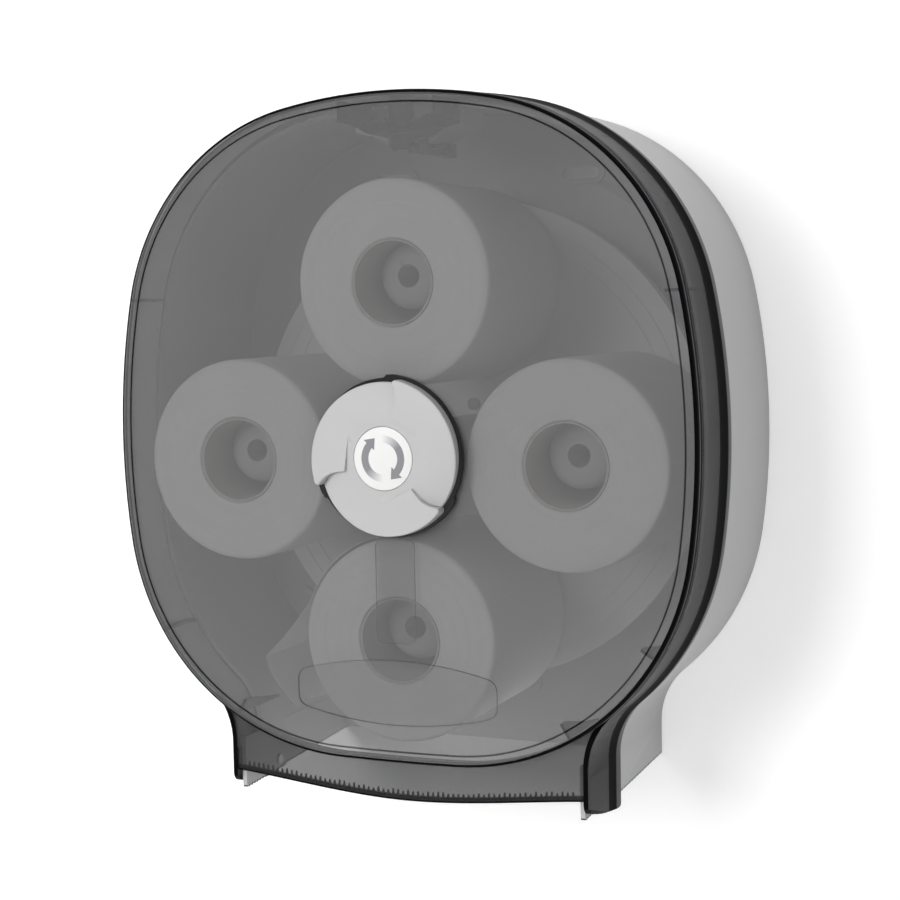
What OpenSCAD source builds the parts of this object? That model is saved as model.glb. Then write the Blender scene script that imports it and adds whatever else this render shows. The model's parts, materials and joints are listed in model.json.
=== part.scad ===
// Wall dispenser for four toilet rolls on a turning carousel, with a smoke cover and a front knob.
// The origin lies on the wall face, on the carousel's axis. The front faces -Y and +Z is up.

/* [Rolls] */
// Outer diameter of a full roll
roll_d = 114; // [104:1:116]
// Width of a roll, along its core
roll_w = 113.4; // [100:0.2:118]
// Inner diameter of the cardboard core
core_id = 45; // [42:0.5:48]
// Wall of the cardboard core
core_t = 1; // [0.6:0.1:1.6]
// Gap between a core and the top of its spindle
core_seat = 0.2; // [0.1:0.05:0.3]
// Thickness of the loose paper tail
tail_t = 0.6; // [0.4:0.1:1]

/* [Carousel] */
// Distance from the carousel's axis to each spindle
turret_r = 97.5; // [92:0.5:100]
// Radius of a spindle
spindle_r = 18.6; // [15:0.1:19.5]
// How far a roll's front stands past the tip of its spindle
spindle_inset = 22; // [10:1:40]
// Radius of the hole in a spindle's tip
spindle_hole_r = 6.4; // [5:0.1:8]
// Rounding of a spindle's tip
spindle_round = 7; // [3:0.5:10]
// How far the carousel disc reaches past the spindles' axes
disc_margin = 45.5; // [38:0.5:48]
// Thickness of the carousel disc
disc_t = 3.5; // [2.5:0.5:5]
// Depth of the two rings pressed into the disc
disc_groove = 0.8; // [0.4:0.1:1.2]
// Outer radius of the drive shaft
shaft_r = 16; // [14.5:0.5:20]
// Radius of the fixed axle that the shaft turns on
axle_r = 10; // [8:0.5:11]
// Length of the axle in front of its flange
axle_l = 46; // [35:1:60]
// Width of the drive tongue
tongue_w = 16; // [12:0.5:18]
// Thickness of the drive tongue
tongue_t = 5; // [4:0.5:6]
// Length of the drive tongue inside the knob
tongue_l = 6; // [4:0.5:8]

/* [Case] */
// Thickness of the case's back
back_t = 3; // [2:0.5:4]
// Wall of the case
shell_wall = 2.6; // [2:0.1:3.2]
// Space behind the carousel disc
disc_behind = 22; // [18:1:30]
// Depth of the lip that slides into the cover
lip_d = 24; // [16:1:30]
// Gap between the lip and the cover
lip_gap = 1.9; // [1.5:0.1:2.5]
// How far the case's sides stand outside the face's outline
shell_grow = 1.5; // [0.5:0.1:2.5]
// Half of the paper chute's outer width
chute_half = 106; // [100:1:110]
// Radius of the sweep from the case's side into the chute
chute_sweep_r = 42; // [30:1:48]
// Drop of the chute's edge below the axis at the wall
chute_rear_z = 188.6; // [184:0.2:192]
// Extra drop of the chute's edge at its front
chute_slope = 5.4; // [2:0.2:8]
// How far the chute steps in where it slides into the cover
chute_step = 2.2; // [1.6:0.2:3]
// Pitch of the tear teeth on the chute
side_pitch = 3.1; // [2.6:0.1:5]
// Height of a tear tooth on the chute
side_tooth_h = 1.4; // [1:0.2:3]

/* [Wall slots] */
// Distance between the slots across the case
slot_dx = 120; // [100:1:130]
// Height of the upper slots above the axis
slot_up = 158; // [154:1:162]
// Distance between the lower slots across the case
slot_low_dx = 32; // [30:1:60]
// Depth of the lower slots below the axis
slot_down = 150; // [149:1:154]
// Length of a slot, end to end
slot_l = 24; // [16:1:28]
// Width of a slot
slot_w = 7; // [5:0.5:8]
// Width of the raised rim round a slot
slot_rim = 3.4; // [2:0.2:4]
// Height of the raised rim
slot_rim_h = 2; // [1:0.5:3]

/* [Cover] */
// Thickness of the cover's face
face_t = 2.5; // [2:0.1:3]
// Wall of the cover's sides
cover_wall = 2.6; // [2:0.1:3]
// Gap between the rolls and the face
front_gap = 3.6; // [1.6:0.2:6]
// Gap between the sweep of the rolls and the cover's side
side_clear = 9.6; // [8:0.2:16]
// Gap between the sweep of the rolls and the cover's bottom edge
bottom_clear = 7.2; // [6:0.2:12]
// How much higher the top stands than the side is wide
crown = 25.5; // [20:0.5:30]
// Height of the widest point above the axis
side_z = 7.5; // [0:0.5:15]
// Radius of the side arcs
side_arc_r = 416; // [380:2:480]
// Radius of the top arc
top_arc_r = 309; // [290:1:340]
// Radius of the bottom arc
bottom_arc_r = 1500; // [1200:10:2000]
// Radius of the upper corners
upper_corner_r = 128.6; // [120:0.2:136]
// Radius of the lower corners
lower_corner_r = 136; // [128:0.2:142]
// Depth of the cover, face to rear edge
cover_d = 56; // [50:1:64]
// Thickness of the flange at the rear edge
flange_t = 4; // [3:0.5:6]
// How far the flange stands out
flange_h = 2.2; // [1:0.1:2.5]
// How far the cover's sides stand outside the face's edge
cover_grow = 0.9; // [0.4:0.1:1.6]
// Height of the stepped border round the face
border_r = 2.4; // [1:0.2:3]
// Distance of the moulded groove from the face's edge
groove_in = 6; // [4:0.2:9]
// Width of the moulded groove
groove_w = 1; // [0.6:0.1:1.6]
// Depth of the moulded groove
groove_d = 0.6; // [0.3:0.1:1]
// Gap between the cover's wings and the chute
wing_gap = 0.7; // [0.4:0.1:1.2]
// Drop of the skirt's lower edge below the axis, at the middle
skirt_z = 191; // [188:0.5:194]
// How much the skirt's edge rises towards its ends
skirt_rise = 9; // [5:0.5:10]
// Set-back of the skirt behind the face
skirt_back = 9.4; // [8.6:0.2:10]
// Thickness of the skirt
skirt_t = 2.2; // [1.6:0.2:3]
// Height of the tear bar's teeth
bar_tooth_h = 2.4; // [2:0.2:4]
// Pitch of the tear bar's teeth
bar_pitch = 3; // [2.6:0.2:6]
// Set-back of the wings' front edge behind the face
wing_back = 8.2; // [7:0.2:8.4]
// Drop of the wings' lower edge below the axis, at the rear
wing_z = 196; // [194:0.5:198]
// How much the wings' lower edge rises towards the front
wing_rise = 8; // [4:0.5:10]
// Rounding of the wings' lower corners
wing_round = 4; // [2:0.5:6]
// Length of the stiffening gussets, inward from the side
gusset_l = 12; // [6:1:14]

/* [Hinge] */
// Distance of the hinge axis behind the face
hinge_back = 51.5; // [48:0.5:54]
// Drop of the hinge axis below the carousel's axis
hinge_z = 186; // [184:0.5:188]
// Radius of the hinge pins
hinge_pin_r = 3; // [2:0.5:4]

/* [Label window] */
// Width of the label window
label_w = 119; // [100:1:130]
// Depth of the window's centre below the axis
label_z = 129; // [120:1:134]
// Height of the window at the middle
label_h = 36; // [26:1:38]
// How much the window's edges curve towards its ends
label_bow = 6.5; // [2:0.5:8]
// Rounding of the window's corners
label_round = 7; // [3:0.5:9]
// Thickness of the blank label plate
label_t = 0.8; // [0.5:0.1:1.2]

/* [Knob] */
// Radius of the knob at the tips of its lobes
knob_r = 44; // [38:0.5:46]
// How much each lobe draws in towards its low end
knob_cut = 5.5; // [3:0.5:7]
// How far the knob stands out of the face
knob_h = 10.5; // [9:0.5:14]
// Thickness of the dark base
base_t = 5.5; // [4:0.5:6]
// Height of the step at the raised end of each lobe
lobe_step = 5; // [3:0.5:5]
// Angle of the first step
notch_angle = 200; // [180:1:220]
// Radius of the flat land round the disc
land_r = 23; // [20:0.5:26]
// Radius of the marked disc
mark_r = 17.1; // [14:0.1:18]
// Thickness of the marked disc
mark_t = 1.6; // [1:0.1:2]
// Radius of the knob's neck through the cover
neck_r = 13; // [12:0.5:16]
// Width of the ring clip behind the cover
clip_w = 4; // [2:0.5:5]
// Thickness of the ring clip
clip_t = 1.2; // [0.8:0.1:1.6]

/* [Lock] */
// Half of the lock trough's width
trough_half = 27; // [22:0.5:30]
// Depth of the trough below the cover's top, at the middle
trough_h = 18; // [16:0.5:22]
// Length of the trough, front to back
trough_l = 40; // [30:1:42]
// Wall of the trough
trough_wall = 2; // [1.5:0.1:2.5]
// Radius of the lock cylinder
lock_r = 7; // [6:0.5:8]
// Distance of the lock's axis behind the face
lock_back = 22; // [20:1:24]
// Length of the cam, from the lock's axis
cam_l = 18; // [16:0.5:19]
// Thickness of the cam
cam_t = 2.5; // [2:0.5:3]
// Width of the catch's hook
catch_w = 5; // [4:0.5:6]
// Gap between the trough and the dip in the case below it
dip_gap = 1.2; // [1:0.1:1.5]
// Wall of the dip
dip_t = 2.2; // [1.8:0.1:2.6]

/* [Fits] */
// Radial clearance of a running fit
run_fit = 0.06; // [0.03:0.01:0.1]
// Gap between flat faces that slide past each other
slide_gap = 0.4; // [0.2:0.05:0.6]
// Radius of the small assembly screws
screw_r = 2; // [1.5:0.1:2.2]

/* [Hidden] */
$fn = 72;

roll_r = roll_d / 2;
core_r = core_id / 2;
// A roll hangs on its spindle, so its centre lies this far below the spindle's
roll_drop = core_r - spindle_r - core_seat;
sweep_r = turret_r + roll_r + roll_drop;
disc_r = turret_r + disc_margin;
roll_behind = 0.5;
tail_leave = 160;
tail_gap = 0.35;
tail_edge = 1;

// Stations along the depth, from the wall to the face
disc_back_y = -(back_t + disc_behind);
disc_front_y = disc_back_y - disc_t;
roll_back_y = disc_front_y - roll_behind;
roll_front_y = roll_back_y - roll_w;
face_in_y = roll_front_y - front_gap;
face_y = face_in_y - face_t;
cover_back_y = face_y + cover_d;
shoulder_y = cover_back_y + slide_gap;
lip_front_y = shoulder_y - lip_d;

// The outline is measured at the face's outer edge
face_half = sweep_r + side_clear + cover_wall;
face_top = face_half + crown;
face_bottom = sweep_r + bottom_clear + cover_wall;
lip_grow = cover_grow - cover_wall - lip_gap;
wing_half = chute_half + wing_gap;
wing_t = cover_wall;
lip_half = chute_half - chute_step;
wing_front_y = face_y + wing_back;
skirt_y = face_y + skirt_back;
chute_front_y = skirt_y + skirt_t + 1;
chute_top = 150;
arc_steps = 7;
corner_steps = 18;

hinge_y = face_y + hinge_back;
knob_back_y = face_y - slide_gap;
knob_front_y = face_y - knob_h;
base_front_y = knob_back_y - base_t;
knob_land_y = knob_front_y + 0.6;
lobes = 3;
lobe_angle = 360 / lobes;
lobe_samples = 12;
neck_end_y = face_in_y + slide_gap + clip_t;
shaft_front_y = neck_end_y + slide_gap;
tongue_clear = 2.4;
flange_y = disc_back_y + 4;
lock_y = face_y + lock_back;
trough_top = face_top - cover_wall;
trough_floor = face_top - cover_wall - trough_h;
dip_top_z = trough_floor - trough_wall - dip_gap;
dip_floor_z = dip_top_z - dip_t;
cam_z = dip_floor_z - 0.6;
catch_x = cam_l - catch_w + 1;
catch_plate_t = 2;
catch_back_y = shoulder_y - 2.5;
catch_front_y = catch_back_y - 9;
catch_screw_x = [-4.5, 4.5];
catch_screw_y = catch_front_y + 4.5;
boss_x = -128;
boss_z = -103;
boss_r = 5;
boss_h = 4;
chute_end_z = -chute_top - 16;
axle_flange_r = 24;
axle_flange_t = 4;
axle_screw_r = 18;
axle_end_y = -back_t - axle_flange_t - axle_l;
washer_t = 1.5;
nut_t = 5;
shaft_flange_r = 28;
shaft_screw_r = 22;
shaft_wall = 2.6;
spindle_tip_y = roll_front_y + spindle_inset;
spindle_floor = 8;
arrow_in = 8.4;
arrow_out = 12.8;
arrow_deep = 0.4;
gusset_z = [88, -97];
gusset_t = 2.2;
screw_head_r = screw_r * 1.9;
screw_head_t = 1.6;

// Points of an arc, without its last point
function arc(c, r, a0, a1, n) = [for (i = [0:n - 1]) let (a = a0 + (a1 - a0) * i / n)
    [c[0] + r * cos(a), c[1] + r * sin(a)]];

// Where circles round p and q with radii m and n meet, on the side nearer the z axis
function meet(p, q, m, n) = let (d = norm(q - p), k = (m * m - n * n + d * d) / (2 * d),
    h = sqrt(max(m * m - k * k, 0)), u = (q - p) / d) p + k * u - h * [u[1], -u[0]];

// A quarter of the outline, from the side at height 0 to the top at height rise
function quarter(half, rise, side_r, top_r, corner_r) = let (
    s = [half - side_r, 0],
    t = [0, rise - top_r],
    c = meet(s, t, side_r - corner_r, top_r - corner_r),
    a = atan2((c - s)[1], (c - s)[0]),
    b = atan2((c - t)[1], (c - t)[0]))
    concat(arc(s, side_r, 0, a, arc_steps), arc(c, corner_r, a, b, corner_steps),
        arc(t, top_r, b, 90, arc_steps));

function flip_x(p) = [-p[0], p[1]];
function back_to_front(v) = [for (i = [len(v) - 1:-1:0]) v[i]];
function shift_z(v, z, s) = [for (p = v) [p[0], z + s * p[1]]];

function upper(g) = shift_z(quarter(face_half + g, face_top + g - side_z, side_arc_r + g,
    top_arc_r + g, upper_corner_r + g), side_z, 1);
function lower(g) = shift_z(quarter(face_half + g, face_bottom + g + side_z, side_arc_r + g,
    bottom_arc_r + g, lower_corner_r + g), side_z, -1);

// Right half of the plain outline, from the bottom to the top
function right_half(g) = concat([[0, -face_bottom - g]], back_to_front(lower(g)),
    [for (i = [1:len(upper(g)) - 1]) upper(g)[i]], [[0, face_top + g]]);
function mirrored(v) = concat(v, [for (i = [len(v) - 2:-1:1]) flip_x(v[i])]);
function outline(g) = mirrored(right_half(g));

// Centre of the lower corner arc, for the sweep into the chute
function low_centre(g) = let (
    s = [face_half - side_arc_r, 0],
    t = [0, face_bottom + side_z - bottom_arc_r],
    c = meet(s, t, side_arc_r - lower_corner_r, bottom_arc_r - lower_corner_r))
    [c[0], side_z - c[1]];
function sweep_x(half) = half + chute_sweep_r;
function sweep_z(half, g) = let (c = low_centre(g), m = lower_corner_r + g + chute_sweep_r)
    c[1] - sqrt(m * m - pow(sweep_x(half) - c[0], 2));

// Right half of the outline with a chute of the given half width that ends at height end_z
function chute_half_line(g, half, end_z) = let (
    c = low_centre(g),
    f = [sweep_x(half), sweep_z(half, g)],
    a = atan2((f - c)[1], (f - c)[0]),
    low = [for (p = back_to_front(lower(g))) if (atan2(p[1] - c[1], p[0] - c[0]) > a + 0.5) p])
    concat([[0, end_z], [half, end_z]],
        [for (i = [0:9]) let (w = 180 + a * i / 9) f + chute_sweep_r * [cos(w), sin(w)]],
        chute_fill(c, lower_corner_r + g, a),
        [for (i = [1:len(upper(g)) - 1]) upper(g)[i]], [[0, face_top + g]]);

// The rest of the lower corner and the side, always with the same number of points
function chute_fill(c, r, a) = let (
    s = [face_half - side_arc_r, side_z],
    e = atan2((c - s)[1], (c - s)[0]))
    concat([for (i = [1:corner_steps]) let (w = a + (e - a) * i / corner_steps) c + r * [cos(w), sin(w)]],
        [for (i = [1:arc_steps]) let (w = e - e * i / arc_steps)
            s + (norm(c - s) + r) * [cos(w), sin(w)]]);
function chute_line(g, half, end_z) = mirrored(chute_half_line(g, half, end_z));

// A flat plate in the XZ plane, from y0 back to y1
module plate(y0, y1) {
    translate([0, y1, 0]) rotate([90, 0, 0]) linear_extrude(y1 - y0) children();
}

// A flat plate in the YZ plane, from x0 to x1
module side_plate(x0, x1, points) {
    translate([x0, 0, 0]) rotate([90, 0, 90]) linear_extrude(x1 - x0) polygon(points);
}

// A round bar along Y, from y0 back to y1
module bar(x, z, r, y0, y1) {
    translate([x, y1, z]) rotate([90, 0, 0]) cylinder(r = r, h = y1 - y0);
}

// A screw along Y whose head faces the front
module screw(x, z, head_y, length) {
    difference() {
        bar(x, z, screw_head_r, head_y, head_y + screw_head_t);
        bar(x, z, screw_r * 0.8, head_y - 1, head_y + screw_head_t / 2);
    }
    bar(x, z, screw_r, head_y + screw_head_t, head_y + length);
}

module on_both_sides() {
    children();
    mirror([1, 0, 0]) children();
}

function spindle_x(i) = turret_r * cos(i * 90);
function spindle_z(i) = turret_r * sin(i * 90);

module slot_shape(length, width) {
    union() {
        square([length - width, width], center = true);
        for (s = [-1, 1]) translate([s * (length - width) / 2, 0]) circle(d = width);
    }
}

module at_slots() {
    for (p = [[slot_dx, slot_up], [slot_low_dx, -slot_down]]) for (s = [-0.5, 0.5])
        translate([s * p[0], p[1]]) children();
}

// Lower edge of the chute at depth y
function chute_z(y) = -chute_rear_z + chute_slope * y / (roll_w - disc_back_y);

// Teeth along the chute's lower edge, from depth y0 to y1
function chute_teeth(y0, y1) = let (n = round((y1 - y0) / side_pitch), pitch = (y1 - y0) / n) concat(
    [[y1, chute_end_z + 2], [y0, chute_end_z + 2]],
    [for (i = [0:n - 1]) let (y = y0 + i * pitch) each
        [[y, chute_z(y)], [y + pitch / 2, chute_z(y) + side_tooth_h]]],
    [[y1, chute_z(y1)]]);

module case_line(g, wall, half = chute_half) {
    polygon(chute_line(g - wall, half - wall, chute_end_z - 10 * wall));
}

// The lip dips under the lock's trough
module lip_shape() {
    difference() {
        union() {
            difference() {
                case_line(lip_grow, 0, lip_half);
                case_line(lip_grow, shell_wall, lip_half);
            }
            intersection() {
                polygon(trough_line(-trough_wall - dip_gap - dip_t));
                case_line(lip_grow, 0, lip_half);
            }
        }
        polygon(trough_line(-trough_wall - dip_gap));
    }
}

// The chute's side inside the cover, whose front stays clear of the swinging skirt
module chute_front_side(back) {
    translate([lip_half - shell_wall, 0, 0]) rotate([90, 0, 90]) linear_extrude(shell_wall) intersection() {
        polygon(chute_teeth(chute_front_y, back));
        union() {
            translate([hinge_y, -hinge_z]) circle(r = hinge_y - chute_front_y);
            translate([chute_front_y, -hinge_z]) square([back - chute_front_y, hinge_z + chute_end_z + 2]);
            translate([hinge_y, -2 * hinge_z]) square([back - hinge_y, 2 * hinge_z]);
        }
    }
}

module back_shell() {
    web_y = shoulder_y + 4;
    color("gainsboro") difference() {
        union() {
            plate(lip_front_y, shoulder_y) lip_shape();
            plate(shoulder_y, web_y) difference() {
                case_line(shell_grow, 0);
                case_line(lip_grow, shell_wall, lip_half);
            }
            plate(shoulder_y, web_y) intersection() {
                polygon(trough_line(-trough_wall - dip_gap - dip_t));
                case_line(lip_grow, 0, lip_half);
            }
            plate(web_y, -back_t) difference() {
                case_line(shell_grow, 0);
                case_line(shell_grow, shell_wall);
            }
            plate(-back_t, 0) case_line(shell_grow, 0);
            plate(-back_t, 0) translate([-chute_half, -chute_rear_z + side_tooth_h])
                square([2 * chute_half, chute_rear_z + chute_end_z]);
            on_both_sides() {
                side_plate(chute_half - shell_wall, chute_half, chute_teeth(shoulder_y, 0));
                chute_front_side(web_y);
            }
            plate(-back_t - slot_rim_h, -back_t) at_slots()
                slot_shape(slot_l + 2 * slot_rim, slot_w + 2 * slot_rim);
            on_both_sides() bar(boss_x, boss_z, boss_r, -back_t - boss_h, -back_t);
        }
        plate(-back_t - slot_rim_h - 1, 1) at_slots() slot_shape(slot_l, slot_w);
        for (i = [0:3]) bar(axle_screw_r * cos(45 + 90 * i), axle_screw_r * sin(45 + 90 * i),
            screw_r + run_fit, -back_t - 1, 1);
        on_both_sides() translate([chute_half - 10, hinge_y, -hinge_z]) rotate([0, 90, 0])
            cylinder(r = hinge_pin_r, h = 20);
        for (x = catch_screw_x) translate([x, catch_screw_y, dip_floor_z - 1])
            cylinder(r = screw_r + run_fit, h = dip_t + 2);
    }
}

module axle_post() {
    color("silver") difference() {
        union() {
            bar(0, 0, axle_flange_r, -back_t - axle_flange_t, -back_t);
            bar(0, 0, axle_r, axle_end_y, -back_t - axle_flange_t);
            bar(0, 0, screw_r * 2, axle_end_y - washer_t - nut_t - 1, axle_end_y);
        }
        for (i = [0:3]) bar(axle_screw_r * cos(45 + 90 * i), axle_screw_r * sin(45 + 90 * i),
            screw_r + run_fit, -back_t - axle_flange_t - 1, -back_t + 1);
    }
}

module axle_screws() {
    color("silver") for (i = [0:3]) screw(axle_screw_r * cos(45 + 90 * i),
        axle_screw_r * sin(45 + 90 * i), -back_t - axle_flange_t - screw_head_t,
        axle_flange_t + back_t + screw_head_t - 0.4);
}

module axle_washer() {
    color("silver") difference() {
        bar(0, 0, axle_r + 2, axle_end_y - washer_t, axle_end_y);
        bar(0, 0, screw_r * 2 + run_fit, axle_end_y - washer_t - 1, axle_end_y + 1);
    }
}

module axle_nut() {
    color("silver") difference() {
        translate([0, axle_end_y - washer_t, 0]) rotate([90, 0, 0])
            cylinder(r = axle_r * 0.8, h = nut_t, $fn = 6);
        bar(0, 0, screw_r * 2 + run_fit, axle_end_y - washer_t - nut_t - 1, axle_end_y);
    }
}

module hinge_pins() {
    inner_x = lip_half - shell_wall - 1.5;
    color("silver") on_both_sides() translate([inner_x, hinge_y, -hinge_z]) rotate([0, 90, 0])
        cylinder(r = hinge_pin_r, h = wing_half + wing_t - 0.9 - inner_x);
}

module catch_bracket() {
    arm_top = cam_z - cam_t - 1;
    arm_low = arm_top - 3.5;
    tip_y = lock_y - 9;
    post_y = lock_y - 5;
    color("silver") difference() {
        union() {
            side_plate(catch_x, catch_x + catch_w, [[catch_back_y, dip_floor_z], [catch_back_y, arm_low],
                [tip_y, arm_low], [tip_y, cam_z + 0.6], [post_y, cam_z + 0.6], [post_y, arm_top],
                [catch_front_y, arm_top], [catch_front_y, dip_floor_z]]);
            translate([catch_screw_x[0] - 4.5, catch_front_y, dip_floor_z - catch_plate_t])
                cube([catch_x + catch_w + 4.5 - catch_screw_x[0], catch_back_y - catch_front_y,
                    catch_plate_t]);
        }
        for (x = catch_screw_x) translate([x, catch_screw_y, dip_floor_z - catch_plate_t - 1])
            cylinder(r = screw_r + run_fit, h = catch_plate_t + 2);
    }
}

module catch_screws() {
    color("silver") for (x = catch_screw_x)
        translate([x, catch_screw_y, dip_floor_z - catch_plate_t - screw_head_t]) {
            cylinder(r = screw_head_r, h = screw_head_t);
            cylinder(r = screw_r, h = screw_head_t + catch_plate_t + dip_t - 0.4);
        }
}

function label_line() = let (w = label_w / 2, h = label_h / 2, n = 12) concat(
    [for (i = [0:n]) let (x = w - label_w * i / n) [x, -label_z + h - label_bow * pow(x / w, 2)]],
    [for (i = [0:n]) let (x = -w + label_w * i / n) [x, -label_z - h + label_bow * pow(x / w, 2)]]);

module label_shape(shrink) {
    offset(r = label_round - shrink, $fn = 32) offset(delta = -label_round) polygon(label_line());
}

// Lower edge of the skirt at x
function skirt_edge(x) = let (t = abs(x) / (wing_half + 1))
    -skirt_z + skirt_rise * pow(t, 2) * (2 - t);

// The skirt closes the space between the face's border and the wings
module skirt() {
    steps = 24;
    plate(skirt_y, skirt_y + skirt_t) difference() {
        intersection() {
            polygon(concat([[face_half, -label_z], [-face_half, -label_z]],
                [for (i = [-steps:steps]) let (x = face_half * i / steps)
                    [x, skirt_edge(min(max(x, -wing_half - 1), wing_half + 1))]]));
            polygon(chute_line(cover_grow - cover_wall / 2, wing_half + 1, chute_end_z - wing_z / 4));
        }
        polygon(outline(cover_grow - cover_wall + 0.1));
    }
}

module wing() {
    y1 = cover_back_y - 0.2;
    steps = 8;
    translate([wing_half, 0, 0]) rotate([90, 0, 90]) linear_extrude(wing_t)
        offset(r = wing_round, $fn = 24) offset(delta = -wing_round) polygon(concat(
            [[y1, -chute_top - 6], [wing_front_y, -chute_top - 6]],
            [for (i = [0:steps]) let (t = 1 - i / steps)
                [y1 + (wing_front_y - y1) * t, -wing_z + wing_rise * pow(t, 2)]]));
}

module gussets() {
    for (z = gusset_z) plate(face_in_y - 0.5, lip_front_y - 1) intersection() {
        difference() {
            polygon(outline(-1));
            polygon(outline(-cover_wall - gusset_l));
        }
        translate([-face_half, z]) square([2 * face_half, gusset_t]);
    }
}

module cover_line(g) {
    polygon(chute_line(g, wing_half + wing_t, chute_end_z));
}

module front_cover() {
    edge_y = face_y + border_r * 0.3;
    body_y = face_y + border_r;
    color([0.3, 0.3, 0.31, 0.55]) difference() {
        union() {
            plate(face_y, edge_y) polygon(outline(-border_r * 0.5));
            plate(edge_y, face_in_y) polygon(outline(0));
            plate(body_y, skirt_y + skirt_t) difference() {
                polygon(outline(cover_grow));
                polygon(outline(cover_grow - cover_wall));
            }
            difference() {
                union() {
                    plate(wing_front_y, cover_back_y - flange_t) cover_line(cover_grow);
                    plate(cover_back_y - flange_t, cover_back_y) cover_line(cover_grow + flange_h);
                }
                plate(wing_front_y - 1, cover_back_y + 1)
                    polygon(chute_line(cover_grow - cover_wall, wing_half, 2 * chute_end_z));
            }
            skirt();
            on_both_sides() wing();
            gussets();
        }
        plate(face_y - 1, face_y + label_t) label_shape(0);
        plate(face_y - 1, face_y + groove_d) difference() {
            polygon(outline(-groove_in));
            polygon(outline(-groove_in - groove_w));
        }
        bar(0, 0, neck_r + run_fit, face_y - 1, face_in_y + 1);
        translate([0, lock_y, trough_top - 10]) cylinder(r = lock_r + run_fit, h = 40);
        on_both_sides() translate([lip_half, hinge_y, -hinge_z]) rotate([0, 90, 0])
            cylinder(r = hinge_pin_r + run_fit, h = wing_half + wing_t - 0.6 - lip_half);
    }
}

module label_plate() {
    color([0.8, 0.8, 0.8, 0.5]) plate(face_y + 0.1, face_y + label_t) label_shape(0.2);
}

module tear_bar() {
    y0 = skirt_y + skirt_t;
    half = lip_half - shell_wall - 1.5;
    count = floor(2 * half / bar_pitch);
    tip = 0.4;
    steps = 24;
    color("dimgray") plate(y0, y0 + 0.7) polygon(concat(
        [for (i = [0:steps]) let (x = half - 2 * half * i / steps) [x, skirt_edge(x) + 2 * bar_tooth_h]],
        [for (i = [0:count - 1]) let (x = -half + 2 * half * i / count) each
            [[x, skirt_edge(x) + bar_tooth_h + tip],
             [x + half / count, skirt_edge(x + half / count) + tip]]],
        [[half, skirt_edge(half) + bar_tooth_h + tip]]));
}

// The stepped profile of the lock trough, drawn in by g
function trough_line(g) = let (w = trough_half - g, z = trough_floor + g, t = trough_h) [
    [w, trough_top + 1], [-w, trough_top + 1], [-w, z + t * 0.4], [-w + 3, z + t * 0.36],
    [-w * 0.68, z + t * 0.26], [-w * 0.4, z], [w * 0.4, z], [w * 0.68, z + t * 0.26],
    [w - 3, z + t * 0.36], [w, z + t * 0.4]];

module lock_trough() {
    rib_x = [-13, 13];
    y0 = face_in_y + 0.3;
    color([0.25, 0.25, 0.26, 0.6]) difference() {
        plate(y0, y0 + trough_l) intersection() {
            polygon(trough_line(-trough_wall));
            polygon(outline(-cover_wall - 0.2));
        }
        difference() {
            plate(y0 - 1, y0 + trough_l + 1) polygon(trough_line(0));
            for (x = rib_x) translate([x - 0.8, y0, trough_floor - 1]) cube([1.6, trough_l, 6]);
        }
        translate([0, lock_y, trough_floor - 10]) cylinder(r = lock_r + run_fit, h = 20);
    }
}

lock_top_z = face_top - 0.6;

module lock_cylinder() {
    color("silver") difference() {
        union() {
            translate([0, lock_y, cam_z]) cylinder(r = lock_r, h = lock_top_z - cam_z);
            translate([0, lock_y, cam_z - cam_t]) cylinder(r = 4, h = cam_t + 0.5);
        }
        translate([-1, lock_y - 3.5, lock_top_z - 6]) cube([2, 7, 10]);
        translate([0, lock_y, cam_z - cam_t - 1]) cylinder(r = screw_r, h = cam_t + 6);
    }
}

module lock_cam() {
    color("silver") translate([0, lock_y, cam_z - cam_t]) difference() {
        union() {
            cylinder(r = 6.5, h = cam_t);
            translate([-4, 0, 0]) cube([8, cam_l, cam_t]);
        }
        translate([0, 0, -1]) cylinder(r = 4 + run_fit, h = cam_t + 2);
    }
}

module cam_screw() {
    color("silver") translate([0, lock_y, cam_z - cam_t - 1.6]) {
        cylinder(r = 5, h = 1.6);
        cylinder(r = screw_r, h = 7);
    }
}

// Radius and height of a lobe at share u of its turn, from its raised end
function lobe_r(u) = knob_r - knob_cut * pow(u, 1.5);
function lobe_y(u, s) = s <= 0 ? knob_land_y : knob_front_y + lobe_step * pow(u, 0.9) * min(1, s * 3)
    + 1.5 * pow(s, 3);
function lobe_angle_at(k, u) = notch_angle + k * lobe_angle - (lobe_angle - 2) * u - 1;
function knob_angles() = [for (k = [lobes:-1:1]) for (i = [0:lobe_samples]) [k, i / lobe_samples]];

module knob_base() {
    color([0.06, 0.06, 0.06]) difference() {
        union() {
            plate(base_front_y, knob_back_y) polygon(back_to_front([for (q = knob_angles())
                let (a = lobe_angle_at(q[0], q[1]), r = lobe_r(q[1]) - 0.4) r * [cos(a), sin(a)]]));
            bar(0, 0, neck_r, knob_back_y - 1, neck_end_y);
        }
        bar(0, 0, neck_r - 3, base_front_y - 1, base_front_y + 2);
        plate(neck_end_y - tongue_l - 1.5, neck_end_y + 1)
            square([tongue_t + 2 * slide_gap, tongue_w + 2 * tongue_clear], center = true);
        plate(face_in_y + slide_gap, face_in_y + slide_gap + clip_t) difference() {
            circle(r = neck_r + 1);
            circle(r = neck_r - 1.2);
        }
    }
}

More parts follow.
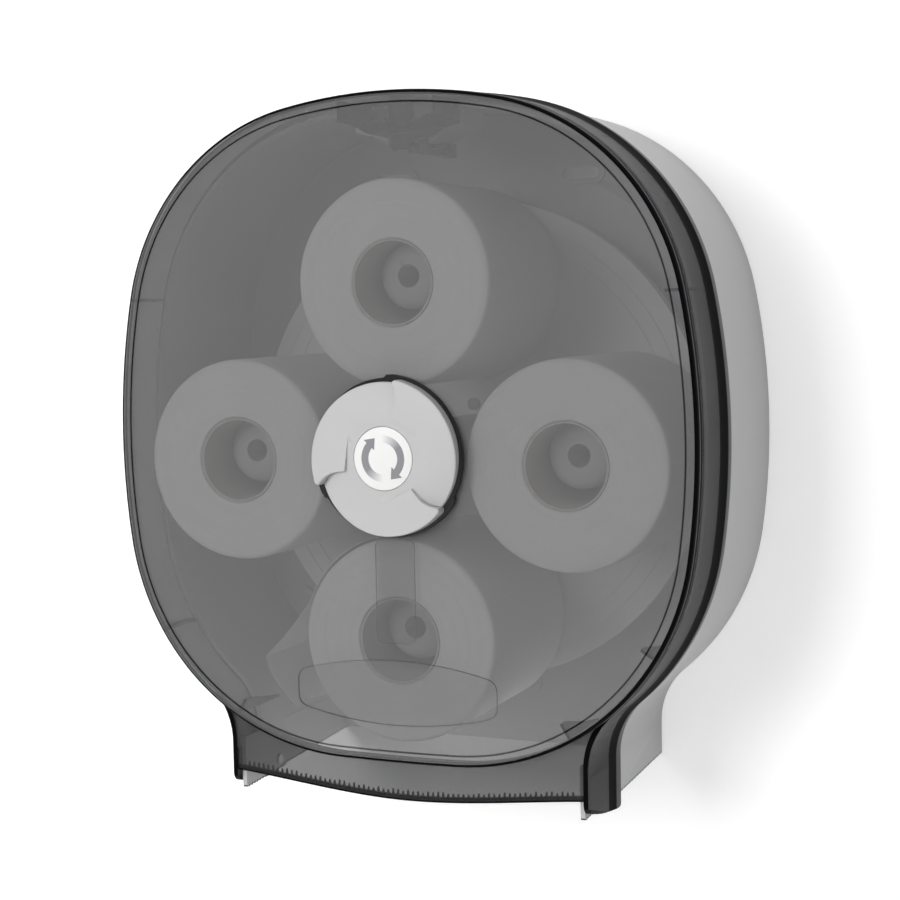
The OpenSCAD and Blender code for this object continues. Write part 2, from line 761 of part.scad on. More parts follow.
module knob_cap() {
    shares = [0, 0.06, 0.3, 0.55, 0.78, 0.93, 1];
    q = knob_angles();
    n = len(q);
    m = len(shares);
    top = [for (s = shares) for (p = q) let (a = lobe_angle_at(p[0], p[1]),
        r = land_r + (lobe_r(p[1]) - land_r) * s, y = min(lobe_y(p[1], s), base_front_y - 1))
        [r * cos(a), y, r * sin(a)]];
    hub = [for (p = q) let (a = lobe_angle_at(p[0], p[1])) [mark_r * 0.5 * cos(a), knob_land_y,
        mark_r * 0.5 * sin(a)]];
    under = [for (p = q) let (a = lobe_angle_at(p[0], p[1])) [lobe_r(p[1]) * cos(a), base_front_y,
        lobe_r(p[1]) * sin(a)]];
    rings = concat(hub, top, under);
    k = m + 2;
    band = [for (j = [0:k - 2]) for (i = [0:n - 1]) let (e = (i + 1) % n)
        each [[j * n + i, (j + 1) * n + i, j * n + e], [j * n + e, (j + 1) * n + i, (j + 1) * n + e]]];
    color([0.86, 0.86, 0.85]) difference() {
        polyhedron(rings, concat(band, [[for (i = [0:n - 1]) i]],
            [[for (i = [n - 1:-1:0]) (k - 1) * n + i]]), convexity = 6);
        bar(0, 0, mark_r + 0.15, knob_land_y - 2, knob_land_y + mark_t);
    }
}

module arrow_shapes() {
    for (k = [0, 1]) rotate(180 * k) {
        difference() {
            circle(r = arrow_out);
            circle(r = arrow_in);
            polygon([[0, 0], 30 * [cos(138), sin(138)], 30 * [cos(60), sin(60)], 30 * [cos(0), sin(0)],
                30 * [cos(-82), sin(-82)]]);
        }
        rotate(138) polygon([[arrow_in - 1.8, 0.2], [arrow_out + 1.8, 0.2],
            [(arrow_in + arrow_out) / 2, -5]]);
    }
}

module knob_disc() {
    color("white") difference() {
        bar(0, 0, mark_r, knob_land_y - 0.1, knob_land_y - 0.1 + mark_t);
        plate(knob_land_y - 1, knob_land_y - 0.1 + arrow_deep) arrow_shapes();
    }
}

module knob_arrows() {
    color("gray") plate(knob_land_y - 0.1, knob_land_y - 0.1 + arrow_deep) arrow_shapes();
}

module knob_clip() {
    y0 = face_in_y + slide_gap;
    color("dimgray") difference() {
        bar(0, 0, neck_r + clip_w, y0, y0 + clip_t);
        bar(0, 0, neck_r - 1.2, y0 - 1, y0 + clip_t + 1);
        translate([-3, y0 - 1, 0]) cube([6, clip_t + 2, neck_r + clip_w + 1]);
    }
}

module carousel_disc() {
    color("whitesmoke") difference() {
        union() {
            bar(0, 0, disc_r, disc_front_y, disc_back_y);
            difference() {
                bar(0, 0, disc_r, disc_back_y - 1, disc_back_y + 5);
                bar(0, 0, disc_r - 3, disc_back_y - 2, disc_back_y + 6);
            }
        }
        for (r = [disc_r - 9, disc_r - 18]) plate(disc_front_y - 1, disc_front_y + disc_groove)
            difference() {
                circle(r = r);
                circle(r = r - 2);
            }
        bar(0, 0, shaft_r + run_fit, disc_front_y - 1, disc_back_y + 1);
        for (i = [0:3]) bar(spindle_x(i), spindle_z(i), screw_r + run_fit, disc_front_y - 1, disc_back_y + 1);
        for (i = [0:2]) bar(shaft_screw_r * cos(90 + 120 * i), shaft_screw_r * sin(90 + 120 * i),
            screw_r + run_fit, disc_front_y - 1, disc_back_y + 1);
    }
}

module drive_shaft() {
    color("gainsboro") difference() {
        union() {
            bar(0, 0, shaft_flange_r, disc_back_y, flange_y);
            bar(0, 0, shaft_r, shaft_front_y, flange_y);
        }
        bar(0, 0, axle_r + run_fit, axle_end_y - 0.5, flange_y + 1);
        bar(0, 0, shaft_r - shaft_wall, shaft_front_y - 1, axle_end_y);
        for (i = [0:2]) bar(shaft_screw_r * cos(90 + 120 * i), shaft_screw_r * sin(90 + 120 * i),
            screw_r + run_fit, disc_back_y - 1, flange_y + 1);
    }
}

module drive_tongue() {
    color("dimgray") union() {
        bar(0, 0, shaft_r - shaft_wall - 0.05, shaft_front_y, shaft_front_y + 18);
        plate(shaft_front_y - tongue_l, shaft_front_y + 1) square([tongue_t, tongue_w], center = true);
    }
}

module shaft_screws() {
    color("silver") for (i = [0:2]) screw(shaft_screw_r * cos(90 + 120 * i),
        shaft_screw_r * sin(90 + 120 * i), disc_front_y - screw_head_t,
        disc_t + screw_head_t + flange_y - disc_back_y - 0.4);
}

module spindle(i) {
    length = disc_front_y - spindle_tip_y;
    e = spindle_round;
    color("gainsboro") translate([spindle_x(i), disc_front_y, spindle_z(i)]) rotate([90, 0, 0])
        difference() {
            rotate_extrude() polygon(concat([[0, 0], [spindle_r, 0]],
                [for (a = [0:15:90]) [spindle_r - e + e * cos(a), length - e + e * sin(a)]],
                [[0, length]]));
            translate([0, 0, spindle_floor]) cylinder(r = spindle_hole_r, h = length);
            translate([0, 0, -1]) cylinder(r = screw_r + run_fit, h = 20);
        }
}

module spindle_screws() {
    color("silver") for (i = [0:3]) screw(spindle_x(i), spindle_z(i),
        disc_front_y - spindle_floor - screw_head_t, spindle_floor + screw_head_t + disc_t + 1.5);
}

module core(i) {
    color("tan") difference() {
        bar(spindle_x(i), spindle_z(i) - roll_drop, core_r + core_t, roll_front_y + 0.6, roll_back_y - 0.2);
        bar(spindle_x(i), spindle_z(i) - roll_drop, core_r, roll_front_y - 1, roll_back_y + 1);
    }
}

module roll(i) {
    color("white") difference() {
        bar(spindle_x(i), spindle_z(i) - roll_drop, roll_r, roll_front_y, roll_back_y);
        bar(spindle_x(i), spindle_z(i) - roll_drop, core_r + core_t, roll_front_y - 1, roll_back_y + 1);
    }
}

// The paper tail leaves the bottom roll at its left, bows out and comes back underneath
function tail_path() = let (
    c = [spindle_x(3), spindle_z(3) - roll_drop],
    r = roll_r + tail_gap + tail_t / 2,
    p = c + r * [cos(tail_leave), sin(tail_leave)],
    d = [cos(tail_leave + 74), sin(tail_leave + 74)],
    n = [d[1], -d[0]],
    q = p + 44 * d + 4 * n)
    concat([for (a = [110:5:tail_leave]) c + r * [cos(a), sin(a)]],
        [for (i = [1:5]) p + 44 * i / 5 * d + 4 * pow(i / 5, 2) * n],
        [q + [5, -12], q + [15, -25], q + [30, -35]]);
function tail_normal(v, i) = let (a = v[max(i - 1, 0)], b = v[min(i + 1, len(v) - 1)], d = b - a)
    [-d[1], d[0]] / norm(d);

module paper_tail() {
    v = tail_path();
    color("white") plate(roll_front_y + tail_edge, roll_back_y - tail_edge) polygon(concat(
        [for (i = [0:len(v) - 1]) v[i] + tail_t / 2 * tail_normal(v, i)],
        [for (i = [len(v) - 1:-1:0]) v[i] - tail_t / 2 * tail_normal(v, i)]));
}

back_shell();
axle_post();
axle_screws();
axle_washer();
axle_nut();
hinge_pins();
catch_bracket();
catch_screws();
front_cover();
label_plate();
tear_bar();
lock_trough();
lock_cylinder();
lock_cam();
cam_screw();
knob_base();
knob_cap();
knob_disc();
knob_arrows();
knob_clip();
carousel_disc();
drive_shaft();
drive_tongue();
shaft_screws();
spindle(1);  // spindle_top
spindle(0);  // spindle_right
spindle(3);  // spindle_bottom
spindle(2);  // spindle_left
spindle_screws();
core(1);  // core_top
core(0);  // core_right
core(3);  // core_bottom
core(2);  // core_left
roll(1);  // roll_top
roll(0);  // roll_right
roll(3);  // roll_bottom
roll(2);  // roll_left
paper_tail();
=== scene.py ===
import json
import math
import random
import bmesh
import bpy
from mathutils import Matrix, Vector


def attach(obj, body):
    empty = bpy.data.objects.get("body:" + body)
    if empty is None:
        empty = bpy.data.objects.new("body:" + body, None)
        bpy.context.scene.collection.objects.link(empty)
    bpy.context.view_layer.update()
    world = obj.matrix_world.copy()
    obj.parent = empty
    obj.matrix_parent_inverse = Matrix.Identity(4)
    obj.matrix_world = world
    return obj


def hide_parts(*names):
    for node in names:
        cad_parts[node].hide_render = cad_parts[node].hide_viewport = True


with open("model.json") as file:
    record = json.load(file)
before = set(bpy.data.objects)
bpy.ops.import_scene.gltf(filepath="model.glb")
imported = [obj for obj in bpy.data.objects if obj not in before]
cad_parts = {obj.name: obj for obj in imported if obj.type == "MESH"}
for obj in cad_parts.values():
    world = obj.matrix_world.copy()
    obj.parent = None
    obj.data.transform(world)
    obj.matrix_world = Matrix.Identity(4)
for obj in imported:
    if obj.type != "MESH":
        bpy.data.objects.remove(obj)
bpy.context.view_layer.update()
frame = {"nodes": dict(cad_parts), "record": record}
nodes = frame["nodes"]

MM = 0.001

# Stations along the depth, in millimetres, as in the part's source
FACE = -148.5
FACE_IN = -146.0
COVER_BACK = -92.5
ROLL_FRONT = -142.4
ROLL_BACK = -29.0

# The outline's arcs: each has its centre and radius, and a distance outwards adds to the radius
HALF, TOP, BOTTOM, SIDE_Z = 170.4, 195.9, 168.0, 7.5
SIDE_R, TOP_R, BOTTOM_R = 416.0, 309.0, 1500.0
UPPER_R, LOWER_R, SWEEP_R = 128.6, 136.0, 42.0
# The wings lean out a little towards the wall; WING_HALF is their outer half width at their front
WING_FRONT, WING_HALF, WING_LEAN = -140.3, 107.1, 2.2
# A level across the wings, below the sweeps' feet, where the darker painted shade of their lower part starts
WING_JOIN = -170.0
RING_BACK = -139.0
SKIRT_FRONT, SKIRT_BACK = -139.1, -136.9
WALL = 2.6


# ---- camera ---------------------------------------------------------------------------------

def make_camera():
    """The photograph's camera, with a focal length of 1827 of its 900 pixels."""
    yaw, pitch, roll = math.radians(23.13), math.radians(4.60), math.radians(-1.02)
    ahead = Vector((-math.sin(yaw) * math.cos(pitch), math.cos(yaw) * math.cos(pitch), -math.sin(pitch)))
    right = Vector((math.cos(yaw), math.sin(yaw), 0))
    up = right.cross(ahead)
    rolled_right = math.cos(roll) * right + math.sin(roll) * up
    rolled_up = -math.sin(roll) * right + math.cos(roll) * up
    data = bpy.data.cameras.new("camera")
    data.sensor_width = 36
    data.lens = data.sensor_width * 1827 / 900
    data.clip_end = 30
    camera = bpy.data.objects.new("camera", data)
    bpy.context.scene.collection.objects.link(camera)
    turn = Matrix((rolled_right, rolled_up, -ahead)).transposed().to_4x4()
    camera.matrix_world = Matrix.Translation((0.415, -1.0384, 0.0823)) @ turn
    bpy.context.scene.camera = camera


make_camera()
bpy.context.scene.view_settings.view_transform = "Standard"


# ---- node groups and materials --------------------------------------------------------------

def new_group(name, inputs, outputs):
    group = bpy.data.node_groups.new(name, "ShaderNodeTree")
    for label, value in inputs:
        group.interface.new_socket(label, in_out="INPUT", socket_type="NodeSocketFloat").default_value = value
    for label in outputs:
        group.interface.new_socket(label, in_out="OUTPUT", socket_type="NodeSocketFloat")
    start = group.nodes.new("NodeGroupInput")
    end = group.nodes.new("NodeGroupOutput")
    return group, start, end


def math_node(tree, operation, a, b=None):
    node = tree.nodes.new("ShaderNodeMath")
    node.operation = operation
    for socket, value in zip(node.inputs, (a, b)):
        if value is None:
            continue
        if isinstance(value, (int, float)):
            socket.default_value = value
        else:
            tree.links.new(value, socket)
    return node.outputs[0]


def noise_node(tree, vector, scale, detail=2.0, roughness=0.5):
    node = tree.nodes.new("ShaderNodeTexNoise")
    tree.links.new(vector, node.inputs["Vector"])
    if isinstance(scale, (int, float)):
        node.inputs["Scale"].default_value = scale
    else:
        tree.links.new(scale, node.inputs["Scale"])
    node.inputs["Detail"].default_value = detail
    node.inputs["Roughness"].default_value = roughness
    return node.outputs["Fac"]


def make_moulded_skin():
    """Fine moulded grain, slow mottling and a few fine scratches."""
    group, start, end = new_group("moulded_skin", [("Grain", 1500.0), ("Mottle", 18.0)],
                                  ["Height", "Tone", "Wear"])
    place = group.nodes.new("ShaderNodeTexCoord").outputs["Object"]
    fine = noise_node(group, place, start.outputs["Grain"], 3.0, 0.6)
    slow = noise_node(group, place, start.outputs["Mottle"], 3.0)
    stretch = group.nodes.new("ShaderNodeMapping")
    stretch.inputs["Scale"].default_value = (60, 60, 900)
    stretch.inputs["Rotation"].default_value = (0.3, 0.9, 0.2)
    group.links.new(place, stretch.inputs["Vector"])
    lines = noise_node(group, stretch.outputs[0], 1.0, 1.0)
    scratch = math_node(group, "POWER", lines, 9.0)
    group.links.new(fine, end.inputs["Height"])
    group.links.new(slow, end.inputs["Tone"])
    group.links.new(scratch, end.inputs["Wear"])
    return group


def make_paper_fibre():
    """Soft creped paper: fibres, crepe lines across the roll and the winding's rings on its ends."""
    group, start, end = new_group("paper_fibre", [("Ring", 0.0), ("Along", 0.0)], ["Height", "Tone"])
    place = group.nodes.new("ShaderNodeTexCoord").outputs["Object"]
    fibre = noise_node(group, place, 900.0, 4.0, 0.7)
    slow = noise_node(group, place, 30.0, 2.0)
    wander = math_node(group, "MULTIPLY", slow, 2.0)
    turns = math_node(group, "ADD", math_node(group, "MULTIPLY", start.outputs["Ring"], 2600.0), wander)
    rings = math_node(group, "SINE", turns)
    crepe = math_node(group, "SINE", math_node(group, "ADD",
                      math_node(group, "MULTIPLY", start.outputs["Along"], 4200.0), wander))
    lines = math_node(group, "MULTIPLY", math_node(group, "ADD", rings, crepe), 0.12)
    height = math_node(group, "ADD", fibre, lines)
    tone = math_node(group, "ADD", math_node(group, "MULTIPLY", slow, 0.7),
                     math_node(group, "MULTIPLY", rings, 0.1))
    group.links.new(height, end.inputs["Height"])
    group.links.new(tone, end.inputs["Tone"])
    return group


def make_brushing():
    """Fine lines of brushed or turned metal."""
    group, start, end = new_group("brushing", [("Scale", 40.0)], ["Height", "Tone"])
    place = group.nodes.new("ShaderNodeTexCoord").outputs["Object"]
    stretch = group.nodes.new("ShaderNodeMapping")
    stretch.inputs["Scale"].default_value = (1.0, 60.0, 60.0)
    group.links.new(place, stretch.inputs["Vector"])
    lines = noise_node(group, stretch.outputs[0], start.outputs["Scale"], 3.0, 0.7)
    group.links.new(lines, end.inputs["Height"])
    group.links.new(noise_node(group, place, 60.0), end.inputs["Tone"])
    return group


SKIN = make_moulded_skin()
FIBRE = make_paper_fibre()
BRUSHING = make_brushing()


def mix_colour(tree, factor, a, b):
    node = tree.nodes.new("ShaderNodeMix")
    node.data_type = "RGBA"
    tree.links.new(factor, node.inputs["Factor"])
    node.inputs["A"].default_value = (*a, 1)
    node.inputs["B"].default_value = (*b, 1)
    return node.outputs["Result"]


def new_material(name, group):
    material = bpy.data.materials.new(name)
    material.use_nodes = True
    tree = material.node_tree
    shader = tree.nodes["Principled BSDF"]
    effect = tree.nodes.new("ShaderNodeGroup")
    effect.node_tree = group
    return material, tree, shader, effect


def bump(tree, shader, height, distance):
    node = tree.nodes.new("ShaderNodeBump")
    node.inputs["Distance"].default_value = distance
    tree.links.new(height, node.inputs["Height"])
    tree.links.new(node.outputs[0], shader.inputs["Normal"])


def ramp(tree, value, low, high):
    node = tree.nodes.new("ShaderNodeMapRange")
    tree.links.new(value, node.inputs["Value"])
    node.inputs["To Min"].default_value = low
    node.inputs["To Max"].default_value = high
    return node.outputs["Result"]


def moulded(name, light, dark, rough, grain, depth, alpha=1.0, spec=0.5):
    material, tree, shader, skin = new_material(name, SKIN)
    skin.inputs["Grain"].default_value = grain
    tree.links.new(mix_colour(tree, skin.outputs["Tone"], dark, light), shader.inputs["Base Color"])
    shade = math_node(tree, "ADD", ramp(tree, skin.outputs["Tone"], rough - 0.05, rough + 0.05),
                      math_node(tree, "MULTIPLY", skin.outputs["Wear"], 0.5))
    tree.links.new(shade, shader.inputs["Roughness"])
    shader.inputs["Alpha"].default_value = alpha
    shader.inputs["Specular IOR Level"].default_value = spec
    bump(tree, shader, skin.outputs["Height"], depth)
    return material


def metal(name, light, dark, rough):
    material, tree, shader, lines = new_material(name, BRUSHING)
    tree.links.new(mix_colour(tree, lines.outputs["Tone"], dark, light), shader.inputs["Base Color"])
    tree.links.new(ramp(tree, lines.outputs["Height"], rough - 0.08, rough + 0.1), shader.inputs["Roughness"])
    shader.inputs["Metallic"].default_value = 1.0
    bump(tree, shader, lines.outputs["Height"], 0.00001)
    return material


def paper(name, light, dark, rough=0.9, depth=0.00012):
    material, tree, shader, fibre = new_material(name, FIBRE)
    for label, source in (("Ring", "ring"), ("Along", "along")):
        node = tree.nodes.new("ShaderNodeAttribute")
        node.attribute_name = source
        tree.links.new(node.outputs["Fac"], fibre.inputs[label])
    tree.links.new(mix_colour(tree, fibre.outputs["Tone"], dark, light), shader.inputs["Base Color"])
    shader.inputs["Roughness"].default_value = rough
    shader.inputs["Specular IOR Level"].default_value = 0.2
    shader.inputs["Sheen Weight"].default_value = 0.15
    bump(tree, shader, fibre.outputs["Height"], depth)
    return material


def smoke(name, light, dark, rough, alpha=1.0, spec=0.5):
    """Polished see-through plastic, with hardly any grain."""
    return moulded(name, light, dark, rough, 600.0, 0.0000008, alpha, spec)


SMOKE = smoke("smoke_clear", (0.245, 0.245, 0.247), (0.232, 0.232, 0.235), 0.10, 0.39, 0.3)
# A darker copy of the face's smoke: painted shade on the side walls and on the ring wall behind the border, which
# face away from the light and are seen at a grazing angle.
SMOKE_SIDE_SHADE = smoke("smoke_side_shade", (0.040, 0.040, 0.042), (0.036, 0.036, 0.038), 0.3, 0.66, 0.08)
# A still darker copy of the smoke: painted shade on the wings' lower part and on a band along the skirt's lower
# edge.
SMOKE_LOW_SHADE = smoke("smoke_low_shade", (0.028, 0.028, 0.030), (0.024, 0.024, 0.026), 0.3, 0.85, 0.08)
# Near black: painted shade on the cover's rounded border, its rims, the wings' open ends and the skirt's lower
# edge, for the dark their curves and thickness show; the tear comb is drawn in it too.
SMOKE_RIM_SHADE = smoke("smoke_rim_shade", (0.004, 0.004, 0.005), (0.003, 0.003, 0.004), 0.5, 1.0, 0.02)
# Near black: painted shade in the face's groove, on the walls of the label's recess, on the label's edge, and on
# the trough's ends and ribs.
SMOKE_LINE_SHADE = smoke("smoke_line_shade", (0.010, 0.010, 0.011), (0.008, 0.008, 0.009), 0.4, 0.75, 0.05)
SMOKE_FAINT = smoke("smoke_faint", (0.06, 0.06, 0.062), (0.05, 0.05, 0.052), 0.2, 0.10)
# Dark, a little purple: painted shade on the fins, the trough's walls and the channel's walls, which are seen
# nearly edge-on.
SMOKE_FIN_SHADE = smoke("smoke_fin_shade", (0.010, 0.009, 0.018), (0.008, 0.007, 0.015), 0.4, 0.9, 0.05)
# Lighter: a painted highlight line along the front border's bevel; the side's rear flange takes it too.
SMOKE_HIGHLIGHT_AND_FLANGE = smoke("smoke_highlight_and_flange", (0.075, 0.075, 0.077), (0.070, 0.070, 0.072), 0.3, 0.9, 0.08)
SMOKE_SKIRT = smoke("smoke_skirt", (0.085, 0.085, 0.086), (0.075, 0.075, 0.077), 0.12, 0.5, 0.1)
LABEL_CLEAR = smoke("label_clear", (0.36, 0.36, 0.37), (0.34, 0.34, 0.35), 0.12, 0.10)
CASE_GREY = moulded("case_grey", (0.54, 0.54, 0.545), (0.51, 0.51, 0.515), 0.45, 1600.0, 0.00002)
DISC_PLASTIC = moulded("carousel_plastic", (0.82, 0.82, 0.825), (0.79, 0.79, 0.795), 0.5, 1600.0, 0.00002)
KNOB_GREY = moulded("knob_grey", (0.57, 0.57, 0.57), (0.54, 0.54, 0.54), 0.38, 2200.0, 0.00002)
KNOB_BLACK = moulded("knob_black", (0.012, 0.012, 0.012), (0.008, 0.008, 0.008), 0.4, 2200.0, 0.00002)
DISC_WHITE = moulded("disc_white", (0.90, 0.90, 0.89), (0.87, 0.87, 0.86), 0.3, 2200.0, 0.00001)
CARDBOARD = paper("cardboard", (0.64, 0.60, 0.55), (0.56, 0.53, 0.49), 0.85, 0.0001)
TISSUE = paper("tissue", (0.88, 0.88, 0.87), (0.81, 0.81, 0.80))
STEEL = metal("plated_steel", (0.55, 0.56, 0.58), (0.48, 0.49, 0.5), 0.35)
DARK_STEEL = metal("dark_steel", (0.10, 0.10, 0.105), (0.07, 0.07, 0.075), 0.35)
ARROW_GREY = moulded("arrow_grey", (0.30, 0.30, 0.32), (0.27, 0.27, 0.29), 0.4, 2200.0, 0.00001)


def paint_over(material, mask, colour):
    """Mixes a colour over a material's base colour by a mask, a socket of its tree."""
    tree = material.node_tree
    base = tree.nodes["Principled BSDF"].inputs["Base Color"]
    mix = tree.nodes.new("ShaderNodeMix")
    mix.data_type = "RGBA"
    tree.links.new(mask, mix.inputs["Factor"])
    tree.links.new(base.links[0].from_socket, mix.inputs["A"])
    mix.inputs["B"].default_value = (*colour, 1)
    tree.links.new(mix.outputs["Result"], base)


def fade_to(material, attribute, colour):
    """Fades a material's base colour to another along an attribute of the mesh."""
    node = material.node_tree.nodes.new("ShaderNodeAttribute")
    node.attribute_name = attribute
    paint_over(material, node.outputs["Fac"], colour)


def paint_notch_shade(material, pitch, edge, slope, height, colour):
    """Paints shade into the notches of a toothed edge that runs along Y and sinks by a slope."""
    tree = material.node_tree
    split = tree.nodes.new("ShaderNodeSeparateXYZ")
    tree.links.new(tree.nodes.new("ShaderNodeTexCoord").outputs["Object"], split.inputs[0])
    line = math_node(tree, "ADD", math_node(tree, "MULTIPLY", split.outputs["Y"], slope), edge + height)
    low = math_node(tree, "LESS_THAN", split.outputs["Z"], line)
    wave = math_node(tree, "SINE", math_node(tree, "MULTIPLY", split.outputs["Y"], 2 * math.pi / pitch))
    notch = math_node(tree, "GREATER_THAN", wave, -0.1)
    paint_over(material, math_node(tree, "MULTIPLY", low, notch), colour)


fade_to(ARROW_GREY, "fade", (0.88, 0.88, 0.88))
# Painted shade in the notches of the chute walls' toothed lower edge
paint_notch_shade(CASE_GREY, pitch=0.0031, edge=-0.1886, slope=0.039, height=0.0015, colour=(0.03, 0.03, 0.03))

MATERIAL_OF_SLOT = {
    "case_grey": CASE_GREY, "steel": STEEL, "lock_metal": DARK_STEEL, "smoke_cover": SMOKE,
    "label": LABEL_CLEAR, "knob_black": KNOB_BLACK, "knob_light": KNOB_GREY, "disc_white": DISC_WHITE,
    "arrow_grey": ARROW_GREY, "carousel_white": DISC_PLASTIC, "paper": TISSUE, "cardboard": CARDBOARD,
}
DARK_NODES = ("lock_cylinder", "lock_cam", "cam_screw", "catch_bracket", "catch_screws")
for part in frame["record"]["subparts"]:
    if part["node"] in nodes:
        mesh = nodes[part["node"]].data
        mesh.materials.clear()
        dark = part["node"] in DARK_NODES
        mesh.materials.append(DARK_STEEL if dark else MATERIAL_OF_SLOT[part["material_slot"]])


# ---- building helpers -----------------------------------------------------------------------

# Vertices closer than this, in millimetres, are one
WELD = 1e-5


def finish_piece(name, bm, materials, body, smooth=30.0, weld=True):
    """Makes the object of a mesh in millimetres; edges sharper than smooth, in degrees, stay sharp."""
    if weld:
        bmesh.ops.remove_doubles(bm, verts=bm.verts, dist=WELD)
    bmesh.ops.scale(bm, vec=(MM, MM, MM), verts=bm.verts)
    mesh = bpy.data.meshes.new(name)
    bm.to_mesh(mesh)
    bm.free()
    for material in materials:
        mesh.materials.append(material)
    if smooth:
        for face in mesh.polygons:
            face.use_smooth = True
        mesh.set_sharp_from_angle(angle=math.radians(smooth))
    piece = bpy.data.objects.new(name, mesh)
    bpy.context.scene.collection.objects.link(piece)
    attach(piece, body)
    return piece


def outwards(bm):
    """Closes the seams and turns the faces outwards."""
    bmesh.ops.remove_doubles(bm, verts=bm.verts, dist=WELD)
    bmesh.ops.recalc_face_normals(bm, faces=bm.faces)


def extrude(bm, faces, push):
    """Extrudes faces and moves their new end along a vector."""
    result = bmesh.ops.extrude_face_region(bm, geom=faces)
    bmesh.ops.translate(bm, vec=push, verts=[v for v in result["geom"] if isinstance(v, bmesh.types.BMVert)])


def grid_place(vert, columns, rows):
    """The column and row of a vertex of a fresh grid of so many columns and rows of faces."""
    return round((vert.co.x + 1) / 2 * columns), round((vert.co.y + 1) / 2 * rows)


def polar(radius, degrees):
    return radius * Vector((math.cos(math.radians(degrees)), math.sin(math.radians(degrees))))


def meet(p, q, m, n):
    """Where circles of radii m and n round p and q meet, on the side away from the z axis."""
    d = (q - p).length
    k = (m * m - n * n + d * d) / (2 * d)
    h = math.sqrt(max(m * m - k * k, 0))
    u = (q - p) / d
    return p + k * u - h * Vector((u.y, -u.x))


def angle_of(v):
    return math.degrees(math.atan2(v.y, v.x))


def corner_arcs():
    """The centres of the arcs at the side, top, bottom, upper corner and lower corner."""
    side = Vector((HALF - SIDE_R, SIDE_Z))
    top = Vector((0, TOP - TOP_R))
    low = Vector((0, -BOTTOM + BOTTOM_R))
    upper = meet(Vector((side.x, 0)), Vector((0, top.y - SIDE_Z)), SIDE_R - UPPER_R, TOP_R - UPPER_R)
    upper.y += SIDE_Z
    lower = meet(Vector((side.x, 0)), Vector((0, BOTTOM + SIDE_Z - BOTTOM_R)), SIDE_R - LOWER_R,
                 BOTTOM_R - LOWER_R)
    lower.y = SIDE_Z - lower.y
    return side, top, low, upper, lower


SIDE_C, TOP_C, LOW_C, UPPER_C, LOWER_C = corner_arcs()
FINE = 1


def outline_runs():
    """The right half of the outline, from the bottom's middle to the top's."""
    low_end = angle_of(LOWER_C - LOW_C)
    side_low = angle_of(LOWER_C - SIDE_C)
    side_high = angle_of(UPPER_C - SIDE_C)
    top_start = angle_of(UPPER_C - TOP_C)
    return [(LOW_C, -90, low_end, 10), (LOWER_C, low_end, side_low, 28), (SIDE_C, side_low, side_high, 24),
            (UPPER_C, side_high, top_start, 28), (TOP_C, top_start, 90, 14)]


def trace(bm, start, runs, y):
    """Draws a line of edges through arcs (centre, from, to, steps) and straight runs (x, z)."""
    vert = bm.verts.new((start.x, y, start.y))
    line = [vert]
    for run in runs:
        if len(run) == 2:
            vert = bm.verts.new((run[0], y, run[1]))
            bm.edges.new((line[-1], vert))
            line.append(vert)
            continue
        centre, a, b, steps = run
        result = bmesh.ops.spin(bm, geom=[line[-1]], cent=(centre.x, y, centre.y), axis=(0, -1, 0),
                                angle=math.radians(b - a), steps=max(steps // FINE, 2), use_duplicate=False)
        last = [v for v in result["geom_last"] if isinstance(v, bmesh.types.BMVert)][0]
        path = []
        while last is not line[-1]:
            path.append(last)
            last = [v for v in (e.other_vert(last) for e in last.link_edges) if v not in path][0]
        line.extend(reversed(path))
    return line


def close_up(bm, line):
    """Joins the ends of a line that comes back to its start."""
    bmesh.ops.pointmerge(bm, verts=[line[0], line[-1]], merge_co=line[0].co)
    return [v for v in line if v.is_valid]


def flip_runs(runs):
    """The same runs on the left, walked back from the top."""
    flipped = []
    for run in reversed(runs):
        if len(run) == 2:
            flipped.append((-run[0], run[1]))
        else:
            centre, a, b, steps = run
            flipped.append((Vector((-centre.x, centre.y)), 180 - b, 180 - a, steps))
    return flipped


def outline_loop(bm, grow, y):
    """The face's whole outline, grown outwards by a distance, at a depth."""
    runs = outline_runs()
    return close_up(bm, trace(bm, Vector((0, -BOTTOM - grow)), runs + flip_runs(runs), y))


def chute_arcs(grow, half):
    """The right half from the foot of the sweep into the chute to the top, and the sweep's foot."""
    reach = LOWER_R + grow + SWEEP_R
    sweep_x = half + SWEEP_R
    sweep = Vector((sweep_x, LOWER_C.y - math.sqrt(reach * reach - (sweep_x - LOWER_C.x) ** 2)))
    turn = angle_of(sweep - LOWER_C)
    side_low = angle_of(LOWER_C - SIDE_C)
    return [(sweep, 180, turn + 180, 16), (LOWER_C, turn, side_low, 22)] + outline_runs()[2:], sweep.y


def chute_path(bm, grow, half, end_z, y):
    """Round the cover, open at the bottom between the wings' lower edges at height end_z."""
    arcs, foot = chute_arcs(grow, half)
    runs = [(half, WING_JOIN), (half, foot)] + arcs + flip_runs(arcs) + [(-half, WING_JOIN), (-half, end_z)]
    return trace(bm, Vector((half, end_z)), runs, y)


def bridge_lines(bm, a, b, closed=False, finish=0):
    """Joins two lines of as many points by quads with a finish, the index of a material."""
    edges = []
    for line in (a, b):
        edges += [bm.edges.get(ends) for ends in zip(line, line[1:] + line[:1] if closed else line[1:])]
    faces = bmesh.ops.bridge_loops(bm, edges=edges)["faces"]
    for face in faces:
        face.material_index = finish
    return faces


def solid_from_loops(bm, loops, finishes=None):
    """Joins closed loops in turn, each strip with its own finish, and caps the first and the last."""
    for a, b, finish in zip(loops, loops[1:], finishes or [0] * (len(loops) - 1)):
        bridge_lines(bm, a, b, closed=True, finish=finish)
    bm.faces.new(loops[0])
    bm.faces.new(list(reversed(loops[-1])))
    outwards(bm)


# ---- the cover ------------------------------------------------------------------------------

LABEL = dict(half=59.5, top=-111.0, bottom=-147.0, bow=8.4, round=7.0)
LABEL_DEPTH = 0.8
LABEL_GAP = 0.2
NECK_HOLE_R = 13.1


